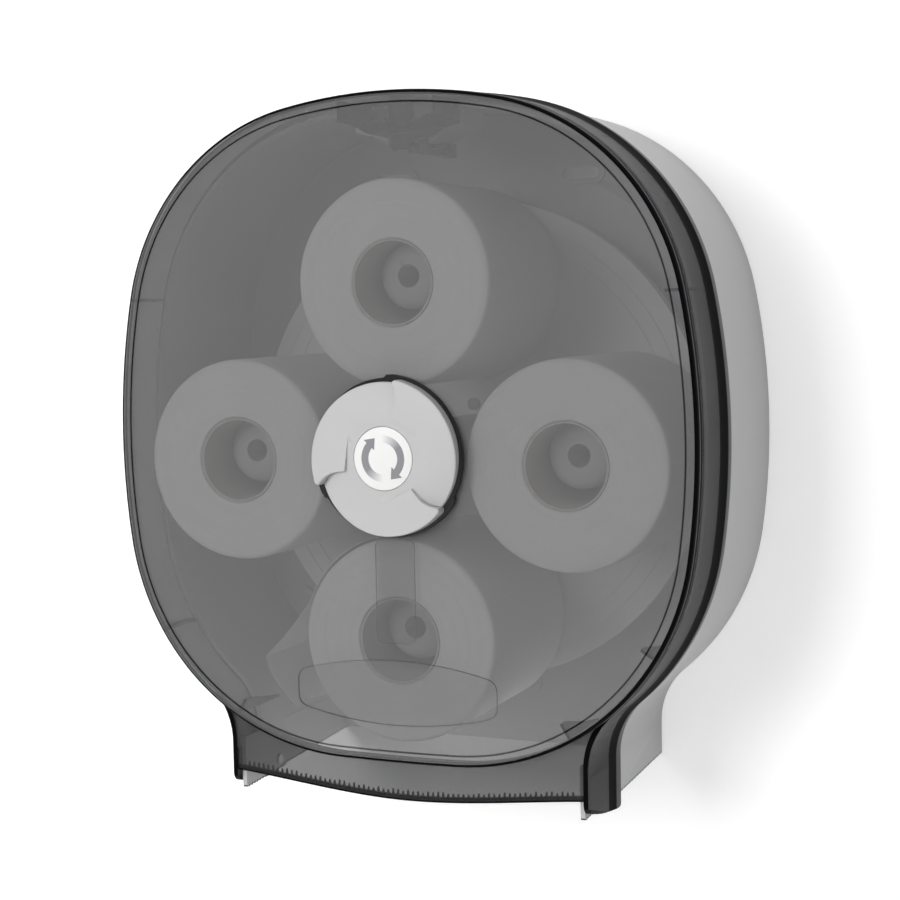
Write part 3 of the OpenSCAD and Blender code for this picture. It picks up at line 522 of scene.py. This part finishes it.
def label_loop(bm, y, shrink=0.0):
    """The label window's outline: bowed top and bottom with round corners."""
    half, bow, corner = LABEL["half"] - shrink, LABEL["bow"], LABEL["round"] - shrink
    big = (half * half + bow * bow) / (2 * bow)
    top, bottom = LABEL["top"] - shrink, LABEL["bottom"] + shrink
    high, low = Vector((0, top - big)), Vector((0, bottom + big))
    inner = big - corner
    x = half - corner
    upper = Vector((x, high.y + math.sqrt(inner * inner - x * x)))
    lower = Vector((x, low.y - math.sqrt(inner * inner - x * x)))
    a, b = angle_of(upper - high), angle_of(lower - low)
    right = [(low, -90, b, 8), (lower, b, 0, 8), (half, upper.y), (upper, 0, a, 8), (high, a, 90, 8)]
    left = [(high, 90, 180 - a, 8), (Vector((-x, upper.y)), 180 - a, 180, 8), (-half, lower.y),
            (Vector((-x, lower.y)), 180, 180 - b, 8), (low, 180 - b, 270, 8)]
    return close_up(bm, trace(bm, Vector((0, bottom)), right + left, y))


def cutter(name, build):
    """A tool to cut with, built in millimetres."""
    bm = bmesh.new()
    build(bm)
    outwards(bm)
    bmesh.ops.scale(bm, vec=(MM, MM, MM), verts=bm.verts)
    mesh = bpy.data.meshes.new(name)
    bm.to_mesh(mesh)
    bm.free()
    tool = bpy.data.objects.new(name, mesh)
    bpy.context.scene.collection.objects.link(tool)
    return tool


def cut(piece, tools):
    """Cuts the tools out of the piece for good and removes them."""
    for tool in tools:
        modifier = piece.modifiers.new("cut", "BOOLEAN")
        modifier.operation = "DIFFERENCE"
        modifier.solver = "EXACT"
        modifier.object = tool
    bpy.context.view_layer.update()
    done = bpy.data.meshes.new_from_object(piece.evaluated_get(bpy.context.evaluated_depsgraph_get()))
    piece.modifiers.clear()
    piece.data = done
    for tool in tools:
        bpy.data.objects.remove(tool)


def make_face():
    """The face with its groove, its rounded border and the ring wall behind the border."""
    bm = bmesh.new()
    # Outwards, depth, and the finish of the strip up to there: 0 the face, 1 near-black painted shade on the
    # rounded border and the rim behind it, 2 painted shade in the groove, 3 the side's painted shade on the ring
    # wall, 4 a painted highlight line on the border's bevel
    profile = [(-7.0, FACE, 0), (-6.9, FACE + 0.6, 2), (-6.1, FACE + 0.6, 2), (-6.0, FACE, 2), (-1.9, FACE, 0),
               (-1.3, FACE + 0.15, 1), (-0.6, FACE + 0.7, 1), (-0.15, FACE + 1.5, 1), (0.0, FACE + 2.4, 1),
               (0.1, FACE + 3.2, 1), (0.15, FACE + 4.4, 4), (0.3, -141.6, 1), (0.55, RING_BACK, 3),
               (-2.0, RING_BACK, 3), (-2.3, -142.5, 3), (-2.6, FACE_IN, 3)]
    loops = [outline_loop(bm, grow, y) for grow, y, finish in profile]
    solid_from_loops(bm, loops, [finish for grow, y, finish in profile[1:]])
    piece = finish_piece("cover_face", bm, [SMOKE, SMOKE_RIM_SHADE, SMOKE_LINE_SHADE, SMOKE_SIDE_SHADE, SMOKE_HIGHLIGHT_AND_FLANGE], "cover")

    def neck(tool):
        bmesh.ops.create_circle(tool, segments=64, radius=NECK_HOLE_R, cap_ends=True)
        bmesh.ops.rotate(tool, cent=(0, 0, 0), matrix=Matrix.Rotation(math.radians(90), 3, "X"), verts=tool.verts)
        bmesh.ops.translate(tool, vec=(0, FACE - 1, 0), verts=tool.verts)
        extrude(tool, tool.faces[:], (0, 5, 0))

    def recess(tool):
        solid_from_loops(tool, [label_loop(tool, FACE - 1), label_loop(tool, FACE + LABEL_DEPTH)])
        # The recess's walls take finish 2, the groove's painted shade
        for face in tool.faces:
            face.material_index = 2 if len(face.verts) == 4 else 0

    cut(piece, [cutter("neck_cut", neck), cutter("label_cut", recess)])
    return piece


def make_label():
    """The clear blank plate in the window, with painted shade as a thin dark line on its edge."""
    bm = bmesh.new()
    solid_from_loops(bm, [label_loop(bm, y, LABEL_GAP) for y in (FACE + 0.1, FACE + LABEL_DEPTH - 0.05)], [1])
    piece = finish_piece("label_window", bm, [LABEL_CLEAR, SMOKE_LINE_SHADE], "cover")
    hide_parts("label_plate")


def wing_low(y):
    """The wings' lower edge at a depth, with its rounded corners."""
    t = (COVER_BACK - y) / (COVER_BACK - WING_FRONT)
    drop = -196.0 + 8.0 * t * t
    for edge, radius in ((WING_FRONT, 4.0), (COVER_BACK, 3.0)):
        reach = radius - abs(y - edge)
        if reach > 0:
            drop += radius - math.sqrt(max(radius * radius - reach * reach, 0.0))
    return drop


def wing_half(y):
    return WING_HALF + WING_LEAN * (y - WING_FRONT) / (COVER_BACK - WING_FRONT)


def make_side():
    """The cover's wall with its flared rear rim and the two wings, as one piece."""
    bm = bmesh.new()
    # Outwards, depth, and the finish of the strip up to there, from the front to the rear rim and back inside: 0
    # the side's painted shade, 1 near-black painted shade on the rims, 3 the rear flange; strips of 0 low on the
    # wings turn to 2, a darker painted shade
    outer = [(0.35, WING_FRONT, 1), (0.5, -139.9, 1), (0.62, -139.2, 0), (0.7, -137.2, 0), (0.75, -134, 0),
             (0.8, -128, 0), (0.85, -120, 0), (0.9, -114, 0), (1.0, -109.5, 0), (1.3, -107, 1), (2.0, -104, 1),
             (2.8, -101.3, 1), (3.1, -100, 1), (3.1, -96.5, 3), (3.1, -94.2, 3), (3.0, -93.1, 3),
             (2.6, COVER_BACK, 3)]
    inner = [(-0.9, COVER_BACK, 0), (-1.0, -94.2, 0), (-1.2, -99.5, 0), (-1.6, -110, 0), (-1.8, -120, 0),
             (-1.9, -128, 0), (-1.95, -134, 0), (-2.0, -137.2, 0), (-2.1, -139.2, 0), (-2.15, -139.9, 0),
             (-2.2, WING_FRONT, 0)]
    lines = [chute_path(bm, grow, wing_half(y) + max(grow - 1.0, 0.0) * 0.4, wing_low(y), y)
             for grow, y, f in outer]
    lines += [chute_path(bm, grow, wing_half(y) - WALL, wing_low(y), y) for grow, y, f in inner]
    finishes = [f for grow, y, f in outer[1:] + inner] + [1]
    for a, b, finish in zip(lines, lines[1:] + lines[:1], finishes):
        for face in bridge_lines(bm, a, b, finish=finish):
            # Low on the wings the side's strips take the darker painted shade
            if finish == 0 and face.calc_center_median().z < WING_JOIN:
                face.material_index = 2
    # The wings' open ends take the near-black painted shade
    for end in (0, -1):
        bm.faces.new([line[end] for line in lines]).material_index = 1
    outwards(bm)
    return finish_piece("cover_side", bm, [SMOKE_SIDE_SHADE, SMOKE_RIM_SHADE, SMOKE_LOW_SHADE, SMOKE_HIGHLIGHT_AND_FLANGE], "cover")


def skirt_edge(x):
    """The skirt's lower edge at x."""
    t = min(abs(x) / 107.7, 1.0)
    return -191.0 + 9.0 * t * t * (2 - t)


def outline_low(x, grow):
    """The face outline's lower edge at x."""
    x = abs(x)
    if x < LOWER_C.x * BOTTOM_R / (BOTTOM_R - LOWER_R):
        return LOW_C.y - math.sqrt((BOTTOM_R + grow) ** 2 - x * x)
    return LOWER_C.y - math.sqrt((LOWER_R + grow) ** 2 - (x - LOWER_C.x) ** 2)


def make_skirt():
    """The plate between the wings, with painted shade along its lower edge: a thin near-black row and a darker
    band above it.
    """
    bm = bmesh.new()
    half, steps, corner, reach = 107.0, 70, 107.05, 109.2
    inside = [half * (2 * i / steps - 1) for i in range(steps + 1)]
    columns = [-reach, -corner] + inside + [corner, reach]
    # Heights of the lowest rows over the edge, then the share of the way up from there for the others
    edge_rows = [0.0, 0.9, 3.0, 5.5]
    upper_rows = [0.25, 0.5, 0.75, 1.0]
    rim_top, shade_top, foot = edge_rows[1:]
    # The two outermost columns on either side end where the wings' sweeps start
    corner_low = {0: -152.0, 1: -163.0}
    last, top = len(columns) - 1, len(edge_rows) + len(upper_rows) - 1
    bmesh.ops.create_grid(bm, x_segments=last, y_segments=top, size=1)
    for vert in bm.verts:
        i, j = grid_place(vert, last, top)
        x = columns[i]
        low = corner_low.get(min(i, last - i), skirt_edge(x))
        if j < len(edge_rows):
            z = low + edge_rows[j]
        else:
            z = low + foot + (outline_low(x, -1.2) - low - foot) * upper_rows[j - len(edge_rows)]
        vert.co = (x, SKIRT_FRONT, z)
    # The lowest row is near-black painted shade, the next band up a darker painted shade
    for face in bm.faces:
        middle = face.calc_center_median()
        height = middle.z - skirt_edge(middle.x)
        face.material_index = 1 if height < rim_top else 2 if height < shade_top else 0
    extrude(bm, bm.faces[:], (0, SKIRT_BACK - SKIRT_FRONT, 0))
    outwards(bm)
    return finish_piece("cover_skirt", bm, [SMOKE_SKIRT, SMOKE_RIM_SHADE, SMOKE_LOW_SHADE], "cover",
                        smooth=20.0)


def prism(bm, points, push, finish=0):
    """A closed prism from a flat ring of points, pushed along a vector."""
    face = bm.faces.new([bm.verts.new(p) for p in points])
    face.material_index = finish
    extrude(bm, [face], push)


FIN_T = 1.6
# Where each fin stands on the wall, and the point that it reaches towards
FINS = ((Vector((162.0, 88.0)), UPPER_C + Vector((0, 18))), (Vector((146.8, -101.6)), LOWER_C),
        (Vector((99.9, -146.8)), LOWER_C))


def make_fins():
    """Three stiffening fins on either side, from the face back along the wall."""
    bm = bmesh.new()
    front, lip, back = FACE_IN - 0.4, -117.0, -99.0
    for side in (1, -1):
        for root, centre in FINS:
            inward = (centre - root).normalized()
            along = Vector((-inward.y, inward.x)) * FIN_T
            tip, middle, heel = (root + reach * inward for reach in (9.0, 3.2, 0.7))
            prism(bm, [(side * root.x, front, root.y), (side * tip.x, front, tip.y),
                       (side * (tip.x - 0.2), FACE_IN + 6, tip.y), (side * middle.x, lip, middle.y),
                       (side * heel.x, back, heel.y), (side * root.x, back, root.y)],
                  (side * along.x, 0, along.y))
    outwards(bm)
    return finish_piece("cover_fins", bm, [SMOKE_FIN_SHADE], "cover", smooth=0)


def make_channel():
    """The shallow channel moulded behind the face, below the knob."""
    bm = bmesh.new()
    half, high, low, corner = 11.6, -44.5, -102.4, 4.5
    # Each corner's centre and first angle, and the end of the straight run after it
    turns = [(half - corner, low + corner, -90, (half, high - corner)),
             (half - corner, high - corner, 0, (corner - half, high)),
             (corner - half, high - corner, 90, (-half, low + corner)),
             (corner - half, low + corner, 180, (half - corner, low))]
    runs = []
    for x, z, first, onward in turns:
        runs += [(Vector((x, z)), first, first + 90, 8), onward]
    start = Vector((half - corner, low))
    solid_from_loops(bm, [close_up(bm, trace(bm, start, runs, y)) for y in (FACE_IN + 0.05, FACE_IN + 1.0)], [1])
    return finish_piece("cover_channel", bm, [SMOKE_FAINT, SMOKE_FIN_SHADE], "cover")


def make_tear_comb():
    """The tear bar behind the skirt's edge: fine teeth below, ribs that run out upwards."""
    bm = bmesh.new()
    draw = random.Random(5)
    half, pitch = 99.6, 3.0
    tooth_tip, tooth_root, rib_root = 0.4, 1.6, 1.9
    count = int(2 * half / pitch)
    step = 2 * half / count
    low, high = [], []
    for i in range(count):
        x = -half + 2 * half * i / count
        edge = skirt_edge(x)
        low += [(x, edge + tooth_root), (x + step / 2, skirt_edge(x + step / 2) + tooth_tip)]
        top = draw.uniform(4.2, 5.4)
        high += [(x, edge + rib_root), (x + step * 0.2, edge + top), (x + step * 0.42, edge + top),
                 (x + step * 0.6, edge + rib_root)]
    low.append((half, skirt_edge(half) + tooth_root))
    high.append((half, skirt_edge(half) + rib_root))
    prism(bm, [(x, SKIRT_BACK + 0.02, z) for x, z in low + list(reversed(high))], (0, 0.66, 0))
    outwards(bm)
    piece = finish_piece("tear_comb", bm, [SMOKE_RIM_SHADE], "cover", smooth=0)
    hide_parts("tear_bar")


def trough_line(grow):
    """The trough's stepped profile, moved outwards by a distance."""
    w, z = 27.0 + grow, 175.3 - grow
    right = [(w, 191.6), (w, z + 7.2), (w - 3.0, z + 6.5), (w * 0.68, z + 4.7), (w * 0.4, z)]
    return right + [(-x, z) for x, z in reversed(right)]


def make_trough():
    """The lock's housing: a stepped trough with three ribs."""
    bm = bmesh.new()
    front, back = FACE_IN + 0.3, -105.7
    rib_low, rib_high, rib_half = 175.5, 181.0, 0.8
    ring = trough_line(2.0) + list(reversed(trough_line(0.0)))
    prism(bm, [(x, front, z) for x, z in ring], (0, back - front, 0))
    # The trough's walls take the fins' painted shade; its ends and ribs take the near-black painted shade of the
    # lines
    for face in bm.faces:
        face.material_index = 1 if abs(face.normal.y) > 0.9 else 0
    for x in (-12.4, 0.0, 12.0):
        prism(bm, [(x - rib_half, front, rib_low), (x + rib_half, front, rib_low), (x + rib_half, front, rib_high),
                   (x - rib_half, front, rib_high)], (0, back - front, 0), finish=1)
    outwards(bm)
    piece = finish_piece("lock_housing", bm, [SMOKE_FIN_SHADE, SMOKE_LINE_SHADE], "cover", smooth=0)
    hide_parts("lock_trough")


for piece in (make_face(), make_side(), make_skirt(), make_fins(), make_channel()):
    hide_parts("front_cover")
make_label()
make_tear_comb()
make_trough()


# ---- the knob -------------------------------------------------------------------------------

KNOB_LAND, KNOB_FOOT, KNOB_BACK = -158.4, -152.2, -148.9
NOTCHES = (80.0, 200.0, 320.0)
DISC_R = 17.1


def between(x, points):
    """Straight steps through (place, value) points."""
    for (a, low), (b, high) in zip(points, points[1:]):
        if x <= b:
            return low + (high - low) * (x - a) / (b - a)
    return points[-1][1]


def lobe_rim(turn):
    """The cap's radius, by the angle clockwise from a lobe's raised end."""
    return 43.0 - 2.2 * (turn / 120) - 1.7 * max(0.0, 1 - turn / 3.0) ** 2


def lobe_inside(turn):
    """Where a lobe rises from the land round the disc: a straight edge that runs out into an arc."""
    chord = 21.3 / math.cos(math.radians(min(turn, 46.0) - 22.5))
    return chord if turn < 46.0 else 23.2


def lobe_rise(turn, share):
    """How far the cap stands above its land; below it where it sinks towards the rim."""
    high = between(turn, [(0, 2.0), (43, 0.25), (60, -0.3), (120, -4.7)])
    if high < 0:
        high *= share ** 1.5 * (1.2 - 0.2 * share)
    crown = -0.35 * share ** 3 * max(high, 0.0) / 2.0
    round_end = -0.55 * max(0.0, 1 - turn / 0.9) ** 2
    return high + crown + round_end


def notch_bow(share):
    """The notch wall's swing in degrees: it bows in and its tip reaches out."""
    return between(share, [(0, -2.5), (0.3, -4.2), (0.5, -4.6), (0.75, -2.4), (0.9, -0.2), (1.0, 1.2)])


def make_cap():
    """The three-lobed cap. Each lobe is a grid from the disc's seat outwards, and clockwise from its notch."""
    bm = bmesh.new()
    turns = [0, 0.25, 0.55, 0.9, 1.5, 2.3, 3.2, 5, 8, 12] + [16 + 4 * i for i in range(25)] + [116, 118.3, 119.95]
    shares = [0, 0.04, 0.1, 0.2, 0.32, 0.44, 0.56, 0.68, 0.78, 0.86, 0.92, 0.955, 0.98, 0.995, 1.0]
    # The rounding of the outer edge, by the number of the share
    drops = {12: 0.12, 13: 0.4, 14: 0.9}
    # The stations inside the lobe, as (radius, depth); None stands for the lobe's inner edge
    fixed = [(3.0, -156.8), (17.3, -156.8), (17.35, KNOB_LAND + 0.25), (17.6, KNOB_LAND), (None, KNOB_LAND)]
    stations = len(fixed) + len(shares)
    for notch in NOTCHES:
        part = bmesh.new()
        bmesh.ops.create_grid(part, x_segments=len(turns) - 1, y_segments=stations - 1, size=1)
        for vert in part.verts:
            i, j = grid_place(vert, len(turns) - 1, stations - 1)
            turn = turns[i]
            inside, rim = lobe_inside(turn), lobe_rim(turn)
            if j < len(fixed):
                r, y = fixed[j]
                r = inside - 0.05 if r is None else r
                swing = notch_bow(0)
            else:
                share = shares[j - len(fixed)]
                r = inside + 0.2 + (rim - inside - 0.2) * share
                y = KNOB_LAND - lobe_rise(turn, share) + drops.get(j - len(fixed), 0.0)
                swing = notch_bow(share)
            angle = math.radians(notch + swing - turn)
            vert.co = (r * math.cos(angle), min(y, KNOB_FOOT - 0.4), r * math.sin(angle))
        result = bmesh.ops.extrude_face_region(part, geom=part.faces[:])
        for item in result["geom"]:
            if isinstance(item, bmesh.types.BMVert):
                item.co.y = KNOB_FOOT
        outwards(part)
        mesh = bpy.data.meshes.new("lobe")
        part.to_mesh(mesh)
        part.free()
        bm.from_mesh(mesh)
        bpy.data.meshes.remove(mesh)
    piece = finish_piece("knob_lobes", bm, [KNOB_GREY], "knob", smooth=34.0, weld=False)
    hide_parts("knob_cap")


def base_rim(angle):
    """The dark base's radius: it reaches past each notch in a rounded hook."""
    turn = (209.0 - angle) % 120
    radius = 45.0 - 1.9 * min(turn / 60, 1.0)
    if turn > 116.5:
        radius += 2.3 * (1 - math.cos(math.pi * (turn - 116.5) / 3.5)) / 2 - 0.9 * ((turn - 116.5) / 3.5) ** 6
    elif turn < 2.5:
        radius -= 0.9 * (1 - turn / 2.5) ** 2
    return radius


def make_base():
    """The dark base with its neck through the face."""
    bm = bmesh.new()
    for y0, y1, rim in ((KNOB_FOOT - 0.1, KNOB_BACK, base_rim), (KNOB_BACK - 0.1, -144.4, lambda angle: 13.0)):
        part = bmesh.ops.create_circle(bm, segments=240 // FINE, radius=1, cap_ends=True)
        for vert in part["verts"]:
            angle = math.degrees(math.atan2(vert.co.y, vert.co.x))
            place = polar(rim(angle), angle)
            vert.co = (place.x, y0, place.y)
        extrude(bm, list({f for v in part["verts"] for f in v.link_faces}), (0, y1 - y0, 0))
    rims = [e for e in bm.edges if e.is_manifold and e.calc_face_angle(0) > 1.2 and e.verts[0].co.xz.length > 20]
    bmesh.ops.bevel(bm, geom=rims, offset=0.35, segments=2, profile=0.5, affect="EDGES", material=-1)
    outwards(bm)
    piece = finish_piece("knob_foot", bm, [KNOB_BLACK], "knob", smooth=34.0)
    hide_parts("knob_base")


def make_disc():
    """The white disc, turned round the carousel's axis."""
    bm = bmesh.new()
    section = [(0, KNOB_LAND - 0.1), (DISC_R - 0.35, KNOB_LAND - 0.1), (DISC_R - 0.1, KNOB_LAND),
               (DISC_R, KNOB_LAND + 0.3), (DISC_R, KNOB_LAND + 1.5), (0, KNOB_LAND + 1.5)]
    verts = [bm.verts.new((r, y, 0)) for r, y in section]
    edges = [bm.edges.new(pair) for pair in zip(verts, verts[1:])]
    bmesh.ops.spin(bm, geom=verts + edges, cent=(0, 0, 0), axis=(0, 1, 0), angle=math.radians(360), steps=96,
                   use_merge=True, use_duplicate=False)
    outwards(bm)
    piece = finish_piece("knob_mark", bm, [DISC_WHITE], "knob", smooth=34.0)
    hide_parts("knob_disc")


def make_arrows():
    """The two curved arrows, printed on the disc, whose tails fade out."""
    bm = bmesh.new()
    fade = bm.verts.layers.float.new("fade")
    front, back = KNOB_LAND - 0.14, KNOB_LAND
    for start in (0.0, 180.0):
        part = bmesh.ops.create_grid(bm, x_segments=36, y_segments=2, size=1)
        for vert in part["verts"]:
            share = (vert.co.x + 1) / 2
            place = polar(10.55 + 2.05 * vert.co.y, start + 138.0 + 137.0 * share)
            vert[fade] = min(max((share - 0.55) / 0.42, 0.0), 1.0)
            vert.co = (place.x, front, place.y)
        faces = list({f for v in part["verts"] for f in v.link_faces})
        head = start + 138.2
        corners = [polar(6.7, head), polar(14.9, head), polar(10.7, head) + polar(5.2, head - 90)]
        faces.append(bm.faces.new([bm.verts.new((p.x, front, p.y)) for p in corners]))
        extrude(bm, faces, (0, back - front, 0))
    outwards(bm)
    piece = finish_piece("knob_print", bm, [ARROW_GREY], "knob", smooth=0)
    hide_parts("knob_arrows")


make_cap()
make_base()
make_disc()
make_arrows()


# ---- smooth copies of the turned and moulded nodes ------------------------------------------

BODY_OF = {node: body for body, group in frame["record"]["behaviour"]["bodies"].items() for node in group}


def smooth_copy(node, name):
    """Replaces a node by its own shape with merged vertices, whole flats and smooth shading."""
    bm = bmesh.new()
    bm.from_mesh(nodes[node].data)
    bmesh.ops.remove_doubles(bm, verts=bm.verts, dist=2e-6)
    bmesh.ops.dissolve_limit(bm, angle_limit=math.radians(0.3), verts=bm.verts, edges=bm.edges)
    bmesh.ops.scale(bm, vec=(1 / MM, 1 / MM, 1 / MM), verts=bm.verts)
    piece = finish_piece(name, bm, list(nodes[node].data.materials), BODY_OF[node],
                         smooth=32.0, weld=False)
    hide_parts(node)


for node in ("back_shell", "carousel_disc", "drive_shaft", "axle_post", "knob_clip", "hinge_pins", "lock_cylinder",
             "spindle_top", "spindle_right", "spindle_bottom", "spindle_left",
             "core_top", "core_right", "core_bottom", "core_left"):
    smooth_copy(node, "smooth_" + node)


# ---- rolls ----------------------------------------------------------------------------------

ROLLS = {"top": (0.0, 93.8), "right": (97.5, -3.7), "bottom": (0.0, -101.2), "left": (-97.5, -3.7)}
ROLL_R, CORE_R = 56.9, 23.6


def make_roll(name, seed):
    """A roll, turned from a section whose end shows the winding's steps, and not quite round."""
    x, z = ROLLS[name]
    draw = random.Random(seed)
    bm = bmesh.new()
    outer, inner = ROLL_R, CORE_R
    front, back = ROLL_FRONT, ROLL_BACK
    rings = 22
    section = [(inner, front + 3.0), (inner + 0.4, front + 0.9)]
    section += [(inner + 1.2 + (outer - inner - 4.2) * i / rings, front + 0.25 + draw.uniform(-0.22, 0.22))
                for i in range(rings + 1)]
    section += [(outer - 1.6, front + 0.5), (outer - 0.6, front + 1.2), (outer - 0.1, front + 2.6)]
    section += [(outer - draw.uniform(0, 0.15), front + 2.6 + (back - front - 5.2) * i / 12) for i in range(1, 12)]
    section += [(outer - 0.1, back - 2.6), (outer - 0.6, back - 1.2), (outer - 2.0, back - 0.4),
                (inner + 1.2, back - 0.4), (inner, back - 2.0)]
    verts = [bm.verts.new((x + r, y, z)) for r, y in section]
    edges = [bm.edges.new((verts[i], verts[(i + 1) % len(verts)])) for i in range(len(verts))]
    bmesh.ops.spin(bm, geom=verts + edges, cent=(x, 0, z), axis=(0, 1, 0), angle=math.radians(360),
                   steps=96 // FINE, use_merge=True, use_duplicate=False)
    outwards(bm)
    wobble = [(draw.uniform(0, 6.28), draw.uniform(0.05, 0.2), k) for k in (2, 3, 5)]
    ring = bm.verts.layers.float.new("ring")
    along = bm.verts.layers.float.new("along")
    for vert in bm.verts:
        d = Vector((vert.co.x - x, vert.co.z - z))
        turn = math.atan2(d.y, d.x)
        end = vert.co.y < front + 2 or vert.co.y > back - 2
        vert[ring] = d.length * MM if end else 0.0
        vert[along] = 0.0 if end else turn * outer * MM
        if d.length > outer - 3:
            shift = -0.4 + sum(size * math.sin(k * turn + phase) for phase, size, k in wobble)
            vert.co.x += d.x / d.length * min(shift, 0)
            vert.co.z += d.y / d.length * min(shift, 0)
    piece = finish_piece("paper_roll_" + name, bm, [TISSUE], "roll_unit_" + name, smooth=50.0)
    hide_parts("roll_" + name)


for index, label in enumerate(ROLLS):
    make_roll(label, 11 + index)


# ---- the paper tail -------------------------------------------------------------------------

def tail_path():
    """The tail's line, seen from the front: round the bottom roll, out and back underneath."""
    line = [Vector(ROLLS["bottom"]) + polar(ROLL_R + 0.8, a) for a in range(112, 161, 4)]
    out = polar(1, 234)
    across = Vector((out.y, -out.x))
    start = line[-1]
    line += [start + 44 * t * out + 4 * t * t * across for t in (i / 10 for i in range(1, 11))]
    end = line[-1]
    steps = ((1.2, -4.5), (3.0, -8.6), (5.4, -12.6), (8.4, -16.6), (11.8, -20.8), (15.6, -24.8), (19.6, -28.2))
    return line + [end + Vector(step) for step in steps]


def make_tail():
    """The loose sheet along that line, a little wavy where it hangs free, with a torn end."""
    bm = bmesh.new()
    draw = random.Random(3)
    line = tail_path()
    front, back = ROLL_FRONT + 1.0, ROLL_BACK - 1.0
    columns, on_roll = 72, 13
    jag = [draw.uniform(0.0, 1.0) for i in range(columns + 1)]
    bmesh.ops.create_grid(bm, x_segments=len(line) - 1, y_segments=columns, size=1)
    along = bm.verts.layers.float.new("along")
    for vert in bm.verts:
        i, j = grid_place(vert, len(line) - 1, columns)
        y = front + (back - front) * j / columns
        before, after = line[max(i - 1, 0)], line[min(i + 1, len(line) - 1)]
        along_line = (after - before).normalized()
        normal = Vector((-along_line.y, along_line.x))
        loose = max(0.0, (i - on_roll) / (len(line) - 1 - on_roll))
        wave = 0.5 * loose * math.sin(y / 9.0 + 3 * loose) + 0.3 * loose * math.sin(y / 4.1 + i * 0.6)
        place = line[i] + normal * wave
        if i == len(line) - 1:
            place -= along_line * 3.6 * jag[j]
        vert.co = (place.x, y, place.y)
        vert[along] = i * MM * 4
    bmesh.ops.recalc_face_normals(bm, faces=bm.faces)
    bmesh.ops.solidify(bm, geom=bm.faces[:], thickness=0.2)
    outwards(bm)
    piece = finish_piece("loose_paper", bm, [TISSUE], "carousel", smooth=60.0)
    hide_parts("paper_tail")


make_tail()


# ---- stage and light ------------------------------------------------------------------------

def stage_material(name, glow, one_sided):
    """Matt white that glows for the eye, but not through the smoke, and lets the view from behind pass."""
    material = bpy.data.materials.new(name)
    material.use_nodes = True
    tree = material.node_tree
    shader = tree.nodes["Principled BSDF"]
    shader.inputs["Base Color"].default_value = (0.8, 0.8, 0.8, 1)
    shader.inputs["Roughness"].default_value = 0.9
    shader.inputs["Specular IOR Level"].default_value = 0.0
    shader.inputs["Emission Color"].default_value = (1, 1, 1, 1)
    path = tree.nodes.new("ShaderNodeLightPath")
    open_view = math_node(tree, "LESS_THAN", path.outputs["Transparent Depth"], 0.5)
    seen = math_node(tree, "MULTIPLY", path.outputs["Is Camera Ray"], open_view)
    seen = math_node(tree, "MAXIMUM", seen, path.outputs["Is Glossy Ray"])
    seen = math_node(tree, "MAXIMUM", seen, path.outputs["Is Transmission Ray"])
    tree.links.new(math_node(tree, "MULTIPLY", seen, glow), shader.inputs["Emission Strength"])
    if one_sided:
        clear = tree.nodes.new("ShaderNodeBsdfTransparent")
        mix = tree.nodes.new("ShaderNodeMixShader")
        back = tree.nodes.new("ShaderNodeNewGeometry").outputs["Backfacing"]
        tree.links.new(back, mix.inputs["Fac"])
        tree.links.new(shader.outputs[0], mix.inputs[1])
        tree.links.new(clear.outputs[0], mix.inputs[2])
        tree.links.new(mix.outputs[0], tree.nodes["Material Output"].inputs["Surface"])
    return material


def stage_plane(name, size, place, turn, material):
    bm = bmesh.new()
    bmesh.ops.create_grid(bm, x_segments=1, y_segments=1, size=size)
    bmesh.ops.rotate(bm, cent=(0, 0, 0), matrix=Matrix.Rotation(math.radians(turn), 3, "X"), verts=bm.verts)
    bmesh.ops.translate(bm, vec=place, verts=bm.verts)
    mesh = bpy.data.meshes.new(name)
    bm.to_mesh(mesh)
    bm.free()
    mesh.materials.append(material)
    piece = bpy.data.objects.new(name, mesh)
    bpy.context.scene.collection.objects.link(piece)


stage_plane("wall", 3.0, (0, 0.0006, 1.0), 90, stage_material("wall_white", 0.42, True))
stage_plane("floor", 4.0, (0, 0, -1.2), 0, stage_material("floor_white", 0.3, False))


def area_light(name, place, size, power):
    """A square lamp that looks at the middle of the part and leaves no mirror image in the cover."""
    data = bpy.data.lights.new(name, "AREA")
    data.size = size
    data.energy = power
    lamp = bpy.data.objects.new(name, data)
    lamp.location = place
    lamp.rotation_euler = (Vector((0, -0.05, 0)) - Vector(place)).to_track_quat("-Z", "Y").to_euler()
    lamp.visible_glossy = False
    bpy.context.scene.collection.objects.link(lamp)


area_light("key", (-0.75, -2.4, 0.5), 0.9, 34)
area_light("overhead", (-0.6, -2.0, 2.5), 1.4, 10)
area_light("fill", (2.2, -1.6, 0.6), 1.6, 3)

# The world lights the part at 0.38 and is white, 1, where it is seen
world = bpy.data.worlds.new("studio")
bpy.context.scene.world = world
world.use_nodes = True
tree = world.node_tree
background = tree.nodes["Background"]
path = tree.nodes.new("ShaderNodeLightPath")
seen = math_node(tree, "MAXIMUM", path.outputs["Is Camera Ray"], path.outputs["Is Transmission Ray"])
strength = math_node(tree, "ADD", 0.38, math_node(tree, "MULTIPLY", seen, 0.62))
tree.links.new(strength, background.inputs["Strength"])
background.inputs["Color"].default_value = (1, 1, 1, 1)
